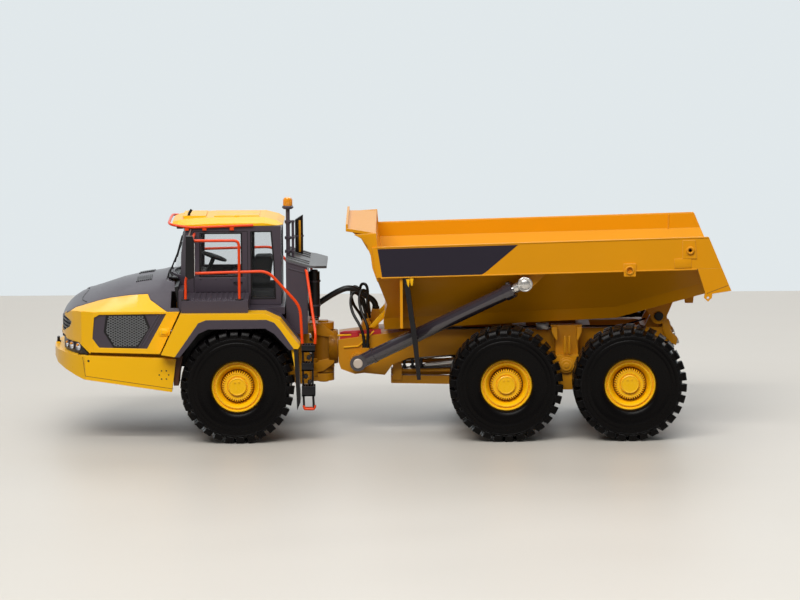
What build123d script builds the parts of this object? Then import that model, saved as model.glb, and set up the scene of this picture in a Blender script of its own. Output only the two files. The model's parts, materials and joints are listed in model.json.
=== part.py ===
"""Scale model of an articulated dump truck, 1:50, in millimetres.

X runs rearwards, Y to the truck's right, Z up. The origin is at the middle of the footprint, on the
ground. Places along the truck are stations: distances behind the front axle.
"""

import os
from math import atan2, cos, degrees, hypot, pi, radians, sin, sqrt

from build123d import *

os.makedirs("parts", exist_ok=True)

# ---- Driving dimensions ---------------------------------------------------------------------------
FRONT_AXLE_X = -55.0  # the front axle's place on the X axis
MIDDLE_AXLE = 97.25  # stations of the two bogie axles
REAR_AXLE = 142.0

TYRE_R = 20.6
TYRE_W = 17.0
TRACK = 69.0  # between the tyres' middle planes
RIM_R = 9.3
TYRE_RIM_GAP = 0.05
SPINDLE_R = 2.6
RUNNING_GAP = 0.05  # between a shaft and its bore

STEER_STATION = 30.5  # vertical hitch pin
STEER_PIN_R = 1.9
HITCH_EYE_R = 4.0
ROLL_HEIGHT = 29.6  # long axis of the hitch's turning joint
ROLL_STUB_R = 4.0
FLANGE_R = 6.2
BODY_GAP = 0.3  # between faces of two moving bodies

CAB_HALF = 17.0
CAB_WALL = 1.0
CAB_FLOOR = 47.6
ROOF_HALF = 16.6
GLASS = 0.5
PANE_GAP = 0.05

HOOD_HALF = 36.8
HOOD_WALL = 1.4
FENDER_HALF = 42.5
FENDER_INNER = 24.5
DECK_TOP = 52.0
BUMPER_HALF = 37.5
BUMPER_WALL = 3.0
CABINET_HALF = 20.0

BODY_HALF = 41.0  # outside of the dump body's band
BODY_WALL = 1.3
BAND_DEPTH = 4.5  # from the band's face in to the sloped side
FLOOR_FRONT = 38.3  # underside of the dump body's floor at its front
FLOOR_CHUTE = 42.4  # and where it starts to climb to the tail
FLOOR_TAIL = 54.8
CHUTE = 138.0  # station where the floor starts to climb
TAIL = 178.5
TIP_STATION = 153.8  # dump body hinge
TIP_DROP = 5.04  # from the floor's underside down to the hinge pin
TIP_PIN_R = 1.2
SIDE_FLARE = 0.86  # outward run of the sloped side for each mm of rise
CREASE_RISE = 4.5  # from the floor to the crease in the sloped side
CHINE_RUN = 2.5  # from the crease in to the floor's edge
GUARD_FRONT_HALF = 30.0
GUARD_REAR_HALF = 38.0

BASE_STATION, BASE_Y, BASE_HEIGHT = 43.5, 20.8, 26.3  # lower pins of the dump cylinders
EYE_STATION, EYE_HEIGHT = 104.15, 57.3  # upper pins
EYE_INSET = 2.4  # from the dump body's band in to the middle of the upper eyes
BARREL_R = 2.55
ROD_R = 1.45
GLAND_TO_EYE = 4.6

FRAME_HALF = 14.0
RAIL_INNER = 8.0
BOGIE_STATION, BOGIE_HEIGHT = 119.6, 25.5  # pivots of the bogie beams


# ---- Helpers --------------------------------------------------------------------------------------
def sx(station):
    """X of a station."""
    return FRONT_AXLE_X + station


def prism(points, y_low, y_high, mode=Mode.ADD):
    """Side outline of (station, height) pairs, extruded from y_low to y_high."""
    with BuildSketch(Plane.XZ.offset(-y_high)) as outline:
        with BuildLine():
            Polyline(*[(sx(station), height) for station, height in points], close=True)
        make_face()
    extrude(outline.sketch, amount=y_high - y_low, mode=mode)


def slab(points, z_low, z_high, mode=Mode.ADD):
    """Plan outline of (station, y) pairs, extruded from z_low to z_high."""
    with BuildSketch(Plane.XY.offset(z_low)) as outline:
        with BuildLine():
            Polyline(*[(sx(station), y) for station, y in points], close=True)
        make_face()
    extrude(outline.sketch, amount=z_high - z_low, mode=mode)


def block(s_low, s_high, y_low, y_high, z_low, z_high, mode=Mode.ADD):
    """Box between two corners."""
    prism([(s_low, z_low), (s_high, z_low), (s_high, z_high), (s_low, z_high)], y_low, y_high, mode)


def disc(station, height, radius, y_low, y_high, mode=Mode.ADD):
    """Cylinder along Y."""
    with BuildSketch(Plane.XZ.offset(-y_high)) as outline:
        with Locations((sx(station), height)):
            Circle(radius)
    extrude(outline.sketch, amount=y_high - y_low, mode=mode)


def post(station, y, radius, z_low, z_high, mode=Mode.ADD):
    """Cylinder along Z."""
    with BuildSketch(Plane.XY.offset(z_low)) as outline:
        with Locations((sx(station), y)):
            Circle(radius)
    extrude(outline.sketch, amount=z_high - z_low, mode=mode)


def rod_between(start, end, radius, mode=Mode.ADD):
    """Round bar between two points given as (station, y, height)."""
    a = Vector(sx(start[0]), start[1], start[2])
    b = Vector(sx(end[0]), end[1], end[2])
    with BuildSketch(Plane(origin=a, z_dir=b - a)) as section:
        Circle(radius)
    extrude(section.sketch, amount=(b - a).length, mode=mode)


def pipe(points, radius, bend, sides=8):
    """Slim tube along (station, y, height) points, with every corner rounded and a many-sided section."""
    places = [Vector(sx(station), y, height) for station, y, height in points]
    with BuildLine() as path:
        FilletPolyline(*places, radius=bend)
    with BuildSketch(Plane(origin=places[0], z_dir=places[1] - places[0])) as section:
        RegularPolygon(radius, sides)
    sweep(section.sketch, path=path.line)


def both_sides():
    """Copy what the part holds to the other side of the truck."""
    mirror(about=Plane.XZ)


def side_range(side, near, far):
    """Low and high y of a stretch between two distances from the middle plane."""
    return sorted((side * near, side * far))


def write(part, name):
    """Label the finished piece and store it."""
    part.label = name
    export_step(part, f"parts/{name}.step")


def line_at(station, a, b):
    """Height at a station on the line through two (station, height) pairs."""
    return a[1] + (station - a[0]) * (b[1] - a[1]) / (b[0] - a[0])


def floor_z(station):
    """Underside of the dump body's floor."""
    if station <= CHUTE:
        return line_at(station, (53.5, FLOOR_FRONT), (CHUTE, FLOOR_CHUTE))
    return line_at(station, (CHUTE, FLOOR_CHUTE), (TAIL, FLOOR_TAIL))


def mirrored(points):
    """Close a half outline of (along, y) pairs across the middle plane."""
    return points + [(along, -y) for along, y in reversed(points) if y > 0]


# ---- Wheels ---------------------------------------------------------------------------------------
# The wheels are turned forms with flat facets. Their rings are pairs of a distance outwards from the
# wheel's middle plane and a many-sided ring's inner radius.
WHEEL_HALF_TRACK = TRACK / 2
FACETS = 26
FACET_TURN = 360 / FACETS
TYRE_HALF = TYRE_W / 2
LUG_HEIGHT = 1.6
LUG_HALF = 1.6  # half length of a lug along the tread
LUG_SKEW = 0.55  # how far a lug's ends lead and trail
LUG_TOP = sqrt(TYRE_R**2 - (LUG_HALF + LUG_SKEW) ** 2)  # a lug's corners reach the tyre's radius
TREAD_R = TYRE_R - LUG_HEIGHT
TYRE_RINGS = [(TYRE_HALF - 1.5, 10.4), (TYRE_HALF, 14.6), (TYRE_HALF - 0.6, TREAD_R)]
RIM_IN = -5.5  # inner end of the rim and hub
RIM_FACE = 5.7
RIM_DISH = [(RIM_FACE + 0.1, 8.5), (4.3, 7.9)]
HUB_POCKET = [(4.4, 6.3), (2.6, 5.9)]
HUB_RING = [(2.5, 4.9), (4.8, 4.7), (5.5, 3.9)]
HUB_CAP = [(5.4, 2.7), (6.3, 2.3)]
HUB_RIBS = 15
SPINDLE_BORE = 0.5  # end of the bore that the spindle turns in


def on_wheel(across, radius, turn):
    """Point of the front left wheel: distance outwards, radius and degrees from straight down."""
    angle = radians(turn)
    return (sx(0) + radius * sin(angle), -WHEEL_HALF_TRACK - across, TYRE_R - radius * cos(angle))


def turned(rings, mode=Mode.ADD):
    """Many-sided form through rings of the wheel."""
    corner = 1 / cos(pi / FACETS)
    ConvexPolyhedron([
        on_wheel(across, radius * corner, facet * FACET_TURN)
        for across, radius in rings
        for facet in range(FACETS)
    ], mode=mode)


def lug(edge, turn):
    """One lug of the tread, from near the middle out over the shoulder on the edge's side, 1 or -1."""
    corners = []
    for across, lead in ((0.7, -LUG_SKEW), (TYRE_HALF - 0.7, LUG_SKEW)):
        for level in (LUG_TOP, TREAD_R - 0.5):
            for half in (-LUG_HALF, LUG_HALF):
                along = half + lead
                lean = degrees(atan2(along, level))
                corners.append(on_wheel(edge * across, hypot(level, along), turn + lean))
    ConvexPolyhedron(corners)


with BuildPart() as tyre:
    turned(TYRE_RINGS + [(-across, radius) for across, radius in TYRE_RINGS])
    turned([(-TYRE_W, RIM_R + TYRE_RIM_GAP), (TYRE_W, RIM_R + TYRE_RIM_GAP)], Mode.SUBTRACT)
    for facet in range(FACETS):
        lug(1 if facet % 2 == 0 else -1, (facet + 0.5) * FACET_TURN)

with BuildPart() as rim:
    turned([(RIM_IN, RIM_R), (RIM_FACE, RIM_R)])
    turned(RIM_DISH, Mode.SUBTRACT)
    turned(HUB_POCKET, Mode.SUBTRACT)
    turned(HUB_RING)
    turned(HUB_CAP)
    for rib in range(HUB_RIBS):
        ConvexPolyhedron([
            on_wheel(across, radius, rib * 360 / HUB_RIBS + lead)
            for across in (2.5, 4.0)
            for radius in (4.4, 6.2)
            for lead in (-4, 4)
        ])
    disc(0.0, TYRE_R, SPINDLE_R + RUNNING_GAP, -WHEEL_HALF_TRACK - SPINDLE_BORE, -WHEEL_HALF_TRACK - RIM_IN + 1,
         Mode.SUBTRACT)

for axle_name, station in (("front", 0.0), ("middle", MIDDLE_AXLE), ("rear", REAR_AXLE)):
    for name, piece in (("tyre", tyre.part), ("rim", rim.part)):
        left = piece.moved(Location((station, 0, 0)))
        write(left, f"{name}_{axle_name}_left")
        write(mirror(left, about=Plane.XZ), f"{name}_{axle_name}_right")

# ---- Axles ----------------------------------------------------------------------------------------
HUB_FACE = WHEEL_HALF_TRACK + RIM_IN  # |y| of the hubs' inner faces
SPINDLE_END = WHEEL_HALF_TRACK + SPINDLE_BORE - BODY_GAP
AXLE_R = 3.6
DIFF_R = 4.1


def axle(station, diff_side):
    """Axle housing with its drive head and the two spindles that the hubs turn on."""
    disc(station, TYRE_R, AXLE_R, -(HUB_FACE - BODY_GAP), HUB_FACE - BODY_GAP)
    disc(station, TYRE_R, SPINDLE_R, -SPINDLE_END, SPINDLE_END)
    disc(station, TYRE_R, DIFF_R, -5.5, 5.5)
    rod_between((station, 0, TYRE_R), (station + diff_side * 8.5, 0, TYRE_R), 3.2)


with BuildPart() as front_axle:
    axle(0.0, 1)
    for side in (-1, 1):
        block(-4.0, 4.0, side * 9.0 - 2.0, side * 9.0 + 2.0, TYRE_R + 2.0, 24.8)
write(front_axle.part, "front_axle")

with BuildPart() as rear_axles:
    axle(MIDDLE_AXLE, -1)
    axle(REAR_AXLE, -1)
write(rear_axles.part, "rear_axles")

# ---- Rear frame -----------------------------------------------------------------------------------
TIP_HEIGHT = floor_z(TIP_STATION) - TIP_DROP
NOSE = 36.3  # front face of the frame's nose, behind the hitch flange
RAIL_TOP = 38.0
FRAME_SIDE = [
    (NOSE, 33.9),
    (NOSE, 25.7),
    (37.2, 23.1),
    (42.3, 21.2),
    (45.6, 21.6),
    (53.3, 20.8),
    (56.0, 24.5),
    (62.0, 27.0),
    (77.0, 28.1),
    (126.0, 29.5),
    (134.0, 33.5),
    (150.0, 33.5),
    (157.3, 32.7),
    (158.8, 36.1),
    (157.0, RAIL_TOP),
    (70.0, RAIL_TOP - 0.6),
    (60.0, 36.9),
]


def frame_top(station):
    """Top of the frame between its nose and the first bend."""
    return line_at(station, FRAME_SIDE[0], FRAME_SIDE[-1])


def frame_low(station):
    """Underside of the frame where the drag rods hang."""
    return line_at(station, FRAME_SIDE[6], FRAME_SIDE[7])


EAR_R = 3.0
EAR_IN, EAR_OUT = 8.5, 12.0
BASE_EAR_HALF = 1.6  # half thickness of a cylinder's lower eye
BASE_PIN_R = 1.4
BALL_GAP = 0.3  # round the cylinders' lower pins, which lets them swing sideways
SWING_GAP = 0.7  # beside their lower eyes

with BuildPart() as rear_frame:
    prism(FRAME_SIDE, -FRAME_HALF, FRAME_HALF)
    # four bays between the rails, open from top to bottom
    for bay in range(4):
        front = 58.5 + bay * 23.5
        block(front, front + 18.5, -RAIL_INNER, RAIL_INNER, 20.0, 45.0, Mode.SUBTRACT)
    # socket for the hitch's turning stub
    socket_r = ROLL_STUB_R + RUNNING_GAP
    rod_between((NOSE - 1, 0, ROLL_HEIGHT), (NOSE + 9, 0, ROLL_HEIGHT), socket_r, Mode.SUBTRACT)
    for side in (-1, 1):
        low, high = sorted((side * EAR_IN, side * EAR_OUT))
        prism([(148.5, RAIL_TOP - 1), (158, RAIL_TOP - 1), (TIP_STATION + EAR_R, TIP_HEIGHT),
               (TIP_STATION - EAR_R, TIP_HEIGHT)], low, high)
        disc(TIP_STATION, TIP_HEIGHT, EAR_R, low, high)
        low, high = sorted((side * EAR_IN, side * (EAR_OUT + 3.9)))
        disc(TIP_STATION, TIP_HEIGHT, TIP_PIN_R, low, high)
        # outrigger and pin of the dump cylinder
        inner = BASE_Y - BASE_EAR_HALF - SWING_GAP
        low, high = sorted((side * (FRAME_HALF - 1), side * inner))
        disc(BASE_STATION, BASE_HEIGHT, 3.0, low, high)
        low, high = sorted((side * (inner - 1), side * (BASE_Y + BASE_EAR_HALF + 0.4)))
        disc(BASE_STATION, BASE_HEIGHT, BASE_PIN_R, low, high)
write(rear_frame.part, "rear_frame")

# ---- Bogie ----------------------------------------------------------------------------------------
BEAM_IN, BEAM_OUT = 20.2, 23.6
with BuildPart() as bogie_brackets:
    prism([(114.0, RAIL_TOP + 1.6), (125.5, RAIL_TOP + 1.6), (124.0, 35.0), (124.0, 28.6), (121.8, 22.0),
           (117.4, 22.0), (115.8, 28.6), (115.8, 35.0)], FRAME_HALF, BEAM_IN - 0.1)
    disc(BOGIE_STATION, BOGIE_HEIGHT, 2.4, BEAM_IN - 0.2, BEAM_OUT + 0.6)
    both_sides()
write(bogie_brackets.part, "bogie_brackets")

BEAM_EYE_R = AXLE_R + 2.2
with BuildPart() as bogie_beams:
    prism([(MIDDLE_AXLE, TYRE_R - 4.2), (REAR_AXLE, TYRE_R - 4.2), (REAR_AXLE, TYRE_R + 4.2),
           (BOGIE_STATION + 4, BOGIE_HEIGHT + 3.6), (BOGIE_STATION - 4, BOGIE_HEIGHT + 3.6),
           (MIDDLE_AXLE, TYRE_R + 4.2)], BEAM_IN, BEAM_OUT)
    for station in (MIDDLE_AXLE, REAR_AXLE):
        disc(station, TYRE_R, BEAM_EYE_R, BEAM_IN, BEAM_OUT)
        disc(station, TYRE_R, AXLE_R + RUNNING_GAP, BEAM_IN - 1, BEAM_OUT + 1, Mode.SUBTRACT)
    disc(BOGIE_STATION, BOGIE_HEIGHT, 2.4 + RUNNING_GAP, BEAM_IN - 1, BEAM_OUT + 1, Mode.SUBTRACT)
    both_sides()
write(bogie_beams.part, "bogie_beams")

with BuildPart() as drag_rods:
    # A-frame to the middle axle and the slim torque rods above it
    slab([(55.5, -7.0), (59.0, -7.0), (90.0, -13.0), (90.0, -16.0), (55.5, -11.0)], 17.3, 20.2)
    rod_between((58.8, -10.5, 22.2), (89.5, -14.5, 22.6), 0.8)
    both_sides()
    prism([(56.2, 18.6), (59.5, 18.6), (59.5, frame_low(59.5)), (56.2, frame_low(56.2))], -12.0, 12.0)
    for low, high in ((-17.0, -9.0), (9.0, 17.0)):
        block(88.5, MIDDLE_AXLE - AXLE_R - 0.1, low, high, 17.3, 24.0)
write(drag_rods.part, "drag_rods")

# ---- Small pieces on the rear frame ---------------------------------------------------------------
with BuildPart() as lock_bar:
    prism([(36.8, frame_top(36.8)), (52.0, frame_top(52.0)), (52.0, 37.4), (45.0, 37.0), (36.8, 36.4)],
          -12.0, -9.6)
write(lock_bar.part, "lock_bar")

PORT_STATIONS = (45.2, 47.6)  # hose ports on the frame's sides
PORT_TOP = BASE_HEIGHT + 4.9
HEAT_SEAT = 43.6  # top of the bracket that holds the thick hose
LIFT_SEAT = 41.0  # tops of the brackets that hold the thin hoses
with BuildPart() as hose_rack:
    prism([(47.0, frame_top(47.0)), (51.0, frame_top(51.0)), (51.4, HEAT_SEAT), (48.6, HEAT_SEAT)], -3.0, 3.0)
    for side in (-1, 1):
        prism([(44.0, frame_top(44.0)), (47.0, frame_top(47.0)), (47.6, LIFT_SEAT), (45.6, LIFT_SEAT)],
              *side_range(side, 4.2, 8.8))
        block(*PORT_STATIONS, *side_range(side, FRAME_HALF, FRAME_HALF + 2.6), PORT_TOP - 1.8, PORT_TOP)
write(hose_rack.part, "hose_rack")

# ---- Dump cylinders -------------------------------------------------------------------------------
BASE = Vector(sx(BASE_STATION), -BASE_Y, BASE_HEIGHT)
EYE_Y = BODY_HALF - EYE_INSET
EYE = Vector(sx(EYE_STATION), -EYE_Y, EYE_HEIGHT)
CYLINDER_LENGTH = (EYE - BASE).length
CYLINDER_LINE = (EYE - BASE).normalized()
BARREL_END = CYLINDER_LENGTH - GLAND_TO_EYE
BARREL_FLOOR = 4.5  # from the lower pin to the bottom of the bore
ROD_EYE_R = 2.7
ROD_EYE_HALF = 1.3
LUG_FACE = EYE_Y - ROD_EYE_HALF - BODY_GAP  # outer face of the dump body's lugs


def along_cylinder(distance):
    """Plane across the left cylinder, a distance up from its lower pin."""
    return Plane(origin=BASE + CYLINDER_LINE * distance, z_dir=CYLINDER_LINE)


with BuildPart() as barrel_left:
    with BuildSketch(along_cylinder(0)) as tube:
        Circle(BARREL_R)
    extrude(tube.sketch, amount=BARREL_END)
    with BuildSketch(along_cylinder(BARREL_END - 3.0)) as gland:
        Circle(BARREL_R + 0.35)
    extrude(gland.sketch, amount=3.0)
    disc(BASE_STATION, BASE_HEIGHT, 2.9, -BASE_Y - BASE_EAR_HALF, -BASE_Y + BASE_EAR_HALF)
    with BuildSketch(along_cylinder(BARREL_FLOOR)) as bore:
        Circle(ROD_R + RUNNING_GAP)
    extrude(bore.sketch, amount=CYLINDER_LENGTH, mode=Mode.SUBTRACT)
    # the eye's faces are flat, and its bore lets the cylinder swing sideways
    for low, high in ((-BASE_Y - 8, -BASE_Y - BASE_EAR_HALF), (-BASE_Y + BASE_EAR_HALF, -BASE_Y + 8)):
        disc(BASE_STATION, BASE_HEIGHT, 3.4, low, high, Mode.SUBTRACT)
    disc(BASE_STATION, BASE_HEIGHT, BASE_PIN_R + BALL_GAP, -BASE_Y - 4, -BASE_Y + 4, Mode.SUBTRACT)
write(barrel_left.part, "barrel_left")
write(mirror(barrel_left.part, about=Plane.XZ), "barrel_right")

with BuildPart() as rod_left:
    with BuildSketch(along_cylinder(BARREL_FLOOR + 0.5)) as shaft:
        Circle(ROD_R)
    extrude(shaft.sketch, amount=CYLINDER_LENGTH - BARREL_FLOOR - 1.5)
    disc(EYE_STATION, EYE_HEIGHT, ROD_EYE_R, -EYE_Y - ROD_EYE_HALF, -EYE_Y + ROD_EYE_HALF)
    # the shaft is milled flat beside the dump body's lug
    block(EYE_STATION - 4.0, EYE_STATION + 4.0, -EYE_Y + ROD_EYE_HALF, 0, 50, 65, Mode.SUBTRACT)
    disc(EYE_STATION, EYE_HEIGHT, 1.5, -EYE_Y - ROD_EYE_HALF - 0.5, -EYE_Y)
write(rod_left.part, "rod_left")
write(mirror(rod_left.part, about=Plane.XZ), "rod_right")

# ---- Dump body ------------------------------------------------------------------------------------
LEDGE_HALF = BODY_HALF - BAND_DEPTH


def rail_z(station):
    return line_at(station, (50.5, 71.0), (170.4, 74.0))


def band_z(station):
    return line_at(station, (52.2, 60.1), (166.1, 62.6))


def side_y(station, height):
    """Half width of the sloped side at a height."""
    return LEDGE_HALF - (band_z(station) - height) * SIDE_FLARE


def crease_z(station):
    """Height of the crease low in the sloped side."""
    return floor_z(station) + CREASE_RISE


def body_sections(station):
    """Outside of the dump body at a station: band, sloped side and keel, as half sections of (y, z) pairs."""
    crease = (side_y(station, crease_z(station)), crease_z(station))
    return [
        [(BODY_HALF, rail_z(station)), (BODY_HALF, band_z(station))],
        [(LEDGE_HALF, band_z(station)), crease],
        [crease, (crease[0] - CHINE_RUN, floor_z(station))],
    ]


def hollow_sections(station):
    """Inside of the dump body at a station, one wall further in, as two half sections."""
    lean = BODY_WALL * sqrt(1 + SIDE_FLARE**2)
    inner = BODY_HALF - BODY_WALL
    shoulder = band_z(station) + (inner - LEDGE_HALF + lean) / SIDE_FLARE
    crease = (side_y(station, crease_z(station)) - lean, crease_z(station))
    return [
        [(inner, rail_z(station) + 5), (inner, shoulder), crease],
        [crease, (crease[0] - CHINE_RUN, floor_z(station) + BODY_WALL)],
    ]


def flat_sided(sections, stations):
    """Solids with flat sides between like half sections at neighbouring stations."""
    for front, rear in zip(stations, stations[1:]):
        for front_half, rear_half in zip(sections(front), sections(rear)):
            ConvexPolyhedron([
                (sx(station), side * y, z)
                for station, half in ((front, front_half), (rear, rear_half))
                for y, z in half
                for side in (-1, 1)
            ])


FRONT_WALL = [(48.7, 75.0), (48.9, 71.7), (51.0, 58.0), (54.3, 48.4), (52.9, 41.2), (53.6, 36.0)]
REAR_EDGE = [(170.2, 80.0), (170.4, 74.0), (TAIL, FLOOR_TAIL - 0.2), (TAIL - 0.6, 50.0)]
BEHIND = TAIL + 12

with BuildPart() as load_space:
    flat_sided(hollow_sections, (46.0, CHUTE, TAIL + 8))
    prism([(40, 80)] + [(s + BODY_WALL + 0.3, z) for s, z in FRONT_WALL] + [(40, 36)], -60, 60, Mode.SUBTRACT)

LUG_IN, LUG_OUT = EAR_OUT + BODY_GAP, EAR_OUT + 3.3
RIB = 59.0  # front face of the ribs down the front corners
BOSS_RISE = 0.6
with BuildPart() as dump_body:
    flat_sided(body_sections, (46.0, CHUTE, TAIL + 2))
    prism([(40, 80)] + FRONT_WALL + [(40, 36)], -60, 60, Mode.SUBTRACT)
    prism(REAR_EDGE + [(BEHIND, 50.0), (BEHIND, 80.0)], -60, 60, Mode.SUBTRACT)
    for side in (-1, 1):
        # hinge lugs under the floor
        low, high = sorted((side * LUG_IN, side * LUG_OUT))
        prism([(148.0, floor_z(148.0) + 0.5), (160.0, floor_z(160.0) + 0.5), (TIP_STATION + EAR_R, TIP_HEIGHT),
               (TIP_STATION - EAR_R, TIP_HEIGHT)], low, high)
        disc(TIP_STATION, TIP_HEIGHT, EAR_R, low, high)
        # lugs for the cylinders' upper eyes
        low, high = sorted((side * (LUG_FACE - 1.2), side * LUG_FACE))
        prism([(102.6, 57.3), (104.15, 54.8), (107.2, 56.2), (113.0, band_z(113.0) + 0.4),
               (102.6, band_z(102.6) + 0.4)], low, high)
        # ribs down the front corners
        low, high = sorted((side * (LEDGE_HALF - 20.0), side * (BODY_HALF - 0.8)))
        prism([(RIB, band_z(RIB) + 0.3), (RIB + 1, band_z(RIB) + 0.3), (RIB + 1, 41.5), (RIB, 41.5)], low, high)
        # square boss under the band, raised strip by the tail, and its round boss
        low, high = side_range(side, BODY_HALF - 1.0, BODY_HALF + BOSS_RISE)
        block(139.7, 144.0, low, high, band_z(142) - 2.0, band_z(142) + 2.6)
        disc(141.8, band_z(142) + 0.3, 1.1, *side_range(side, BODY_HALF, BODY_HALF + 2), Mode.SUBTRACT)
        prism([(160.9, 66.4), (166.0, 66.4), (165.4, 73.0), (160.9, 73.0)],
              *side_range(side, BODY_HALF - 1.0, BODY_HALF + BOSS_RISE / 2))
        disc(163.6, 69.4, 1.3, *side_range(side, BODY_HALF - 1.0, BODY_HALF + BOSS_RISE))
        # brackets under the tail
        prism([(163.1, 47.6), (166.0, 47.6), (166.4, floor_z(166.4) + 0.4), (162.7, floor_z(162.7) + 0.4)],
              *side_range(side, 19.0, 20.6))
    disc(TIP_STATION, TIP_HEIGHT, TIP_PIN_R + RUNNING_GAP, -30, 30, Mode.SUBTRACT)
    add(load_space.part, mode=Mode.SUBTRACT)
write(dump_body.part, "dump_body")

with BuildPart() as spill_guard:
    slab(mirrored([(39.5, GUARD_FRONT_HALF), (50.4, GUARD_REAR_HALF)]), 74.0, 77.4)
    prism([(36, 80), (39.5, 76.9), (50.4, 76.0), (54, 80)], -60, 60, Mode.SUBTRACT)
    prism([(36, 70), (36, 76.0), (50.4, 75.0), (54, 70)], -60, 60, Mode.SUBTRACT)
    for side in (-1, 1):
        low, high = sorted((side * 27.0, side * 28.4))
        prism([(40.6, 76.2), (45.1, 72.8), (47.6, 68.5), (49.2, 70.4), (48.95, 71.4), (49.0, 75.4)], low, high)
    block(39.5, 40.3, -GUARD_FRONT_HALF, GUARD_FRONT_HALF, 76.0, 78.4)
    prism([(48.4, 75.5), (50.4, 75.5), (50.5, 70.0), (49.05, 70.0)], -GUARD_REAR_HALF, GUARD_REAR_HALF)
    add(dump_body.part, mode=Mode.SUBTRACT)
write(spill_guard.part, "spill_guard")

CHEEK_HOLE = (170.05, FLOOR_TAIL - 2.74)
CHEEK_HOLE_R = 0.5
with BuildPart() as cheek_left:
    hole_s, hole_z = CHEEK_HOLE
    prism([(166.3, band_z(166.3)), (169.0, hole_z + 2.1), (hole_s - 1.4, hole_z), (hole_s, hole_z - 1.4),
           (hole_s + 1.4, hole_z), (hole_s + 1.6, hole_z + 1.5), (TAIL, FLOOR_TAIL - 0.2),
           (TAIL - 3.4, band_z(TAIL - 3.4))], -BODY_HALF, -BODY_HALF + 1.2)
    disc(*CHEEK_HOLE, CHEEK_HOLE_R, -60, 0, Mode.SUBTRACT)
write(cheek_left.part, "cheek_left")
write(mirror(cheek_left.part, about=Plane.XZ), "cheek_right")

with BuildPart() as mud_guards:
    prism([(60.1, 61.0), (61.9, 61.0), (65.4, 35.2), (66.4, 22.8), (65.0, 22.8), (63.6, 35.2)],
          -BODY_HALF + 0.4, -BODY_HALF + 11.0)
    add(dump_body.part, mode=Mode.SUBTRACT)
    add(load_space.part, mode=Mode.SUBTRACT)
    both_sides()
write(mud_guards.part, "mud_guards")

# ---- Hitch ----------------------------------------------------------------------------------------
UPPER_EAR = (36.2, 38.8)
LOWER_EAR = (17.2, 20.0)
with BuildPart() as hitch_block:
    post(STEER_STATION, 0, HITCH_EYE_R, LOWER_EAR[1] + BODY_GAP, UPPER_EAR[0] - BODY_GAP)
    block(STEER_STATION, NOSE - BODY_GAP - 1.4, -3.8, 3.8, LOWER_EAR[1] + 2.5, UPPER_EAR[0] - 1.5)
    rod_between((NOSE - BODY_GAP - 1.6, 0, ROLL_HEIGHT), (NOSE - BODY_GAP, 0, ROLL_HEIGHT), FLANGE_R)
    rod_between((NOSE - BODY_GAP - 1, 0, ROLL_HEIGHT), (NOSE + 8.5, 0, ROLL_HEIGHT), ROLL_STUB_R)
    post(STEER_STATION, 0, STEER_PIN_R + RUNNING_GAP, 10, 45, Mode.SUBTRACT)
write(hitch_block.part, "hitch_block")

# ---- Front chassis --------------------------------------------------------------------------------
CHASSIS_HALF = 11.0
CHASSIS_END = 25.6
with BuildPart() as front_chassis:
    prism([(-58.0, 24.8), (15.0, 24.8), (20.5, 17.2), (CHASSIS_END, 17.2), (CHASSIS_END, 38.8), (25.0, 42.0),
           (17.6, 42.0), (14.0, 36.0), (-14.0, 36.0), (-18.0, 31.5), (-58.0, 29.5)],
          -CHASSIS_HALF, CHASSIS_HALF)
    for low, high in (UPPER_EAR, LOWER_EAR):
        post(STEER_STATION, 0, HITCH_EYE_R, low, high)
        block(CHASSIS_END - 1, STEER_STATION, -HITCH_EYE_R, HITCH_EYE_R, low, high)
    post(STEER_STATION, 0, STEER_PIN_R, LOWER_EAR[0] - 0.6, UPPER_EAR[1] + 0.6)
    # crossings that carry the cab's platform
    for station in (-13.0, 8.0):
        block(station, station + 4.0, -CHASSIS_HALF, CHASSIS_HALF, 35.5, 45.0)
write(front_chassis.part, "front_chassis")

# ---- Front body work ------------------------------------------------------------------------------
NOSE_PLAN = [(-68.5, 0.0), (-68.0, 9.0), (-66.4, 18.0), (-63.0, 27.0), (-58.6, 34.0), (-55.0, BUMPER_HALF)]
BUMPER_FRONT = -58.0  # back face of the bumper's middle
with BuildPart() as bumper:
    slab(mirrored(NOSE_PLAN + [(-22.2, BUMPER_HALF)]), 15, 40)
    prism([(-70, 31.9), (-70, 30.2), (-66.5, 27.0), (-62, 25.4), (-56, 23.3), (-23.8, 18.4), (-22.2, 30.5),
           (-55.5, 31.9)], -60, 60, Mode.INTERSECT)
    block(BUMPER_FRONT, 0, -BUMPER_HALF + BUMPER_WALL, BUMPER_HALF - BUMPER_WALL, 10, 40, Mode.SUBTRACT)
    for side in (-1, 1):
        # returns behind the side panels, and the towing lug under the nose
        block(-23.4, -21.4, *side_range(side, BUMPER_HALF - 4.5, BUMPER_HALF - 1.5), 22.0, 30.0)
    prism([(-65.0, 27.0), (-60.5, 26.0), (-60.8, 22.4), (-63.0, 22.8)], -2.2, 2.2)
write(bumper.part, "bumper")

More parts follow.
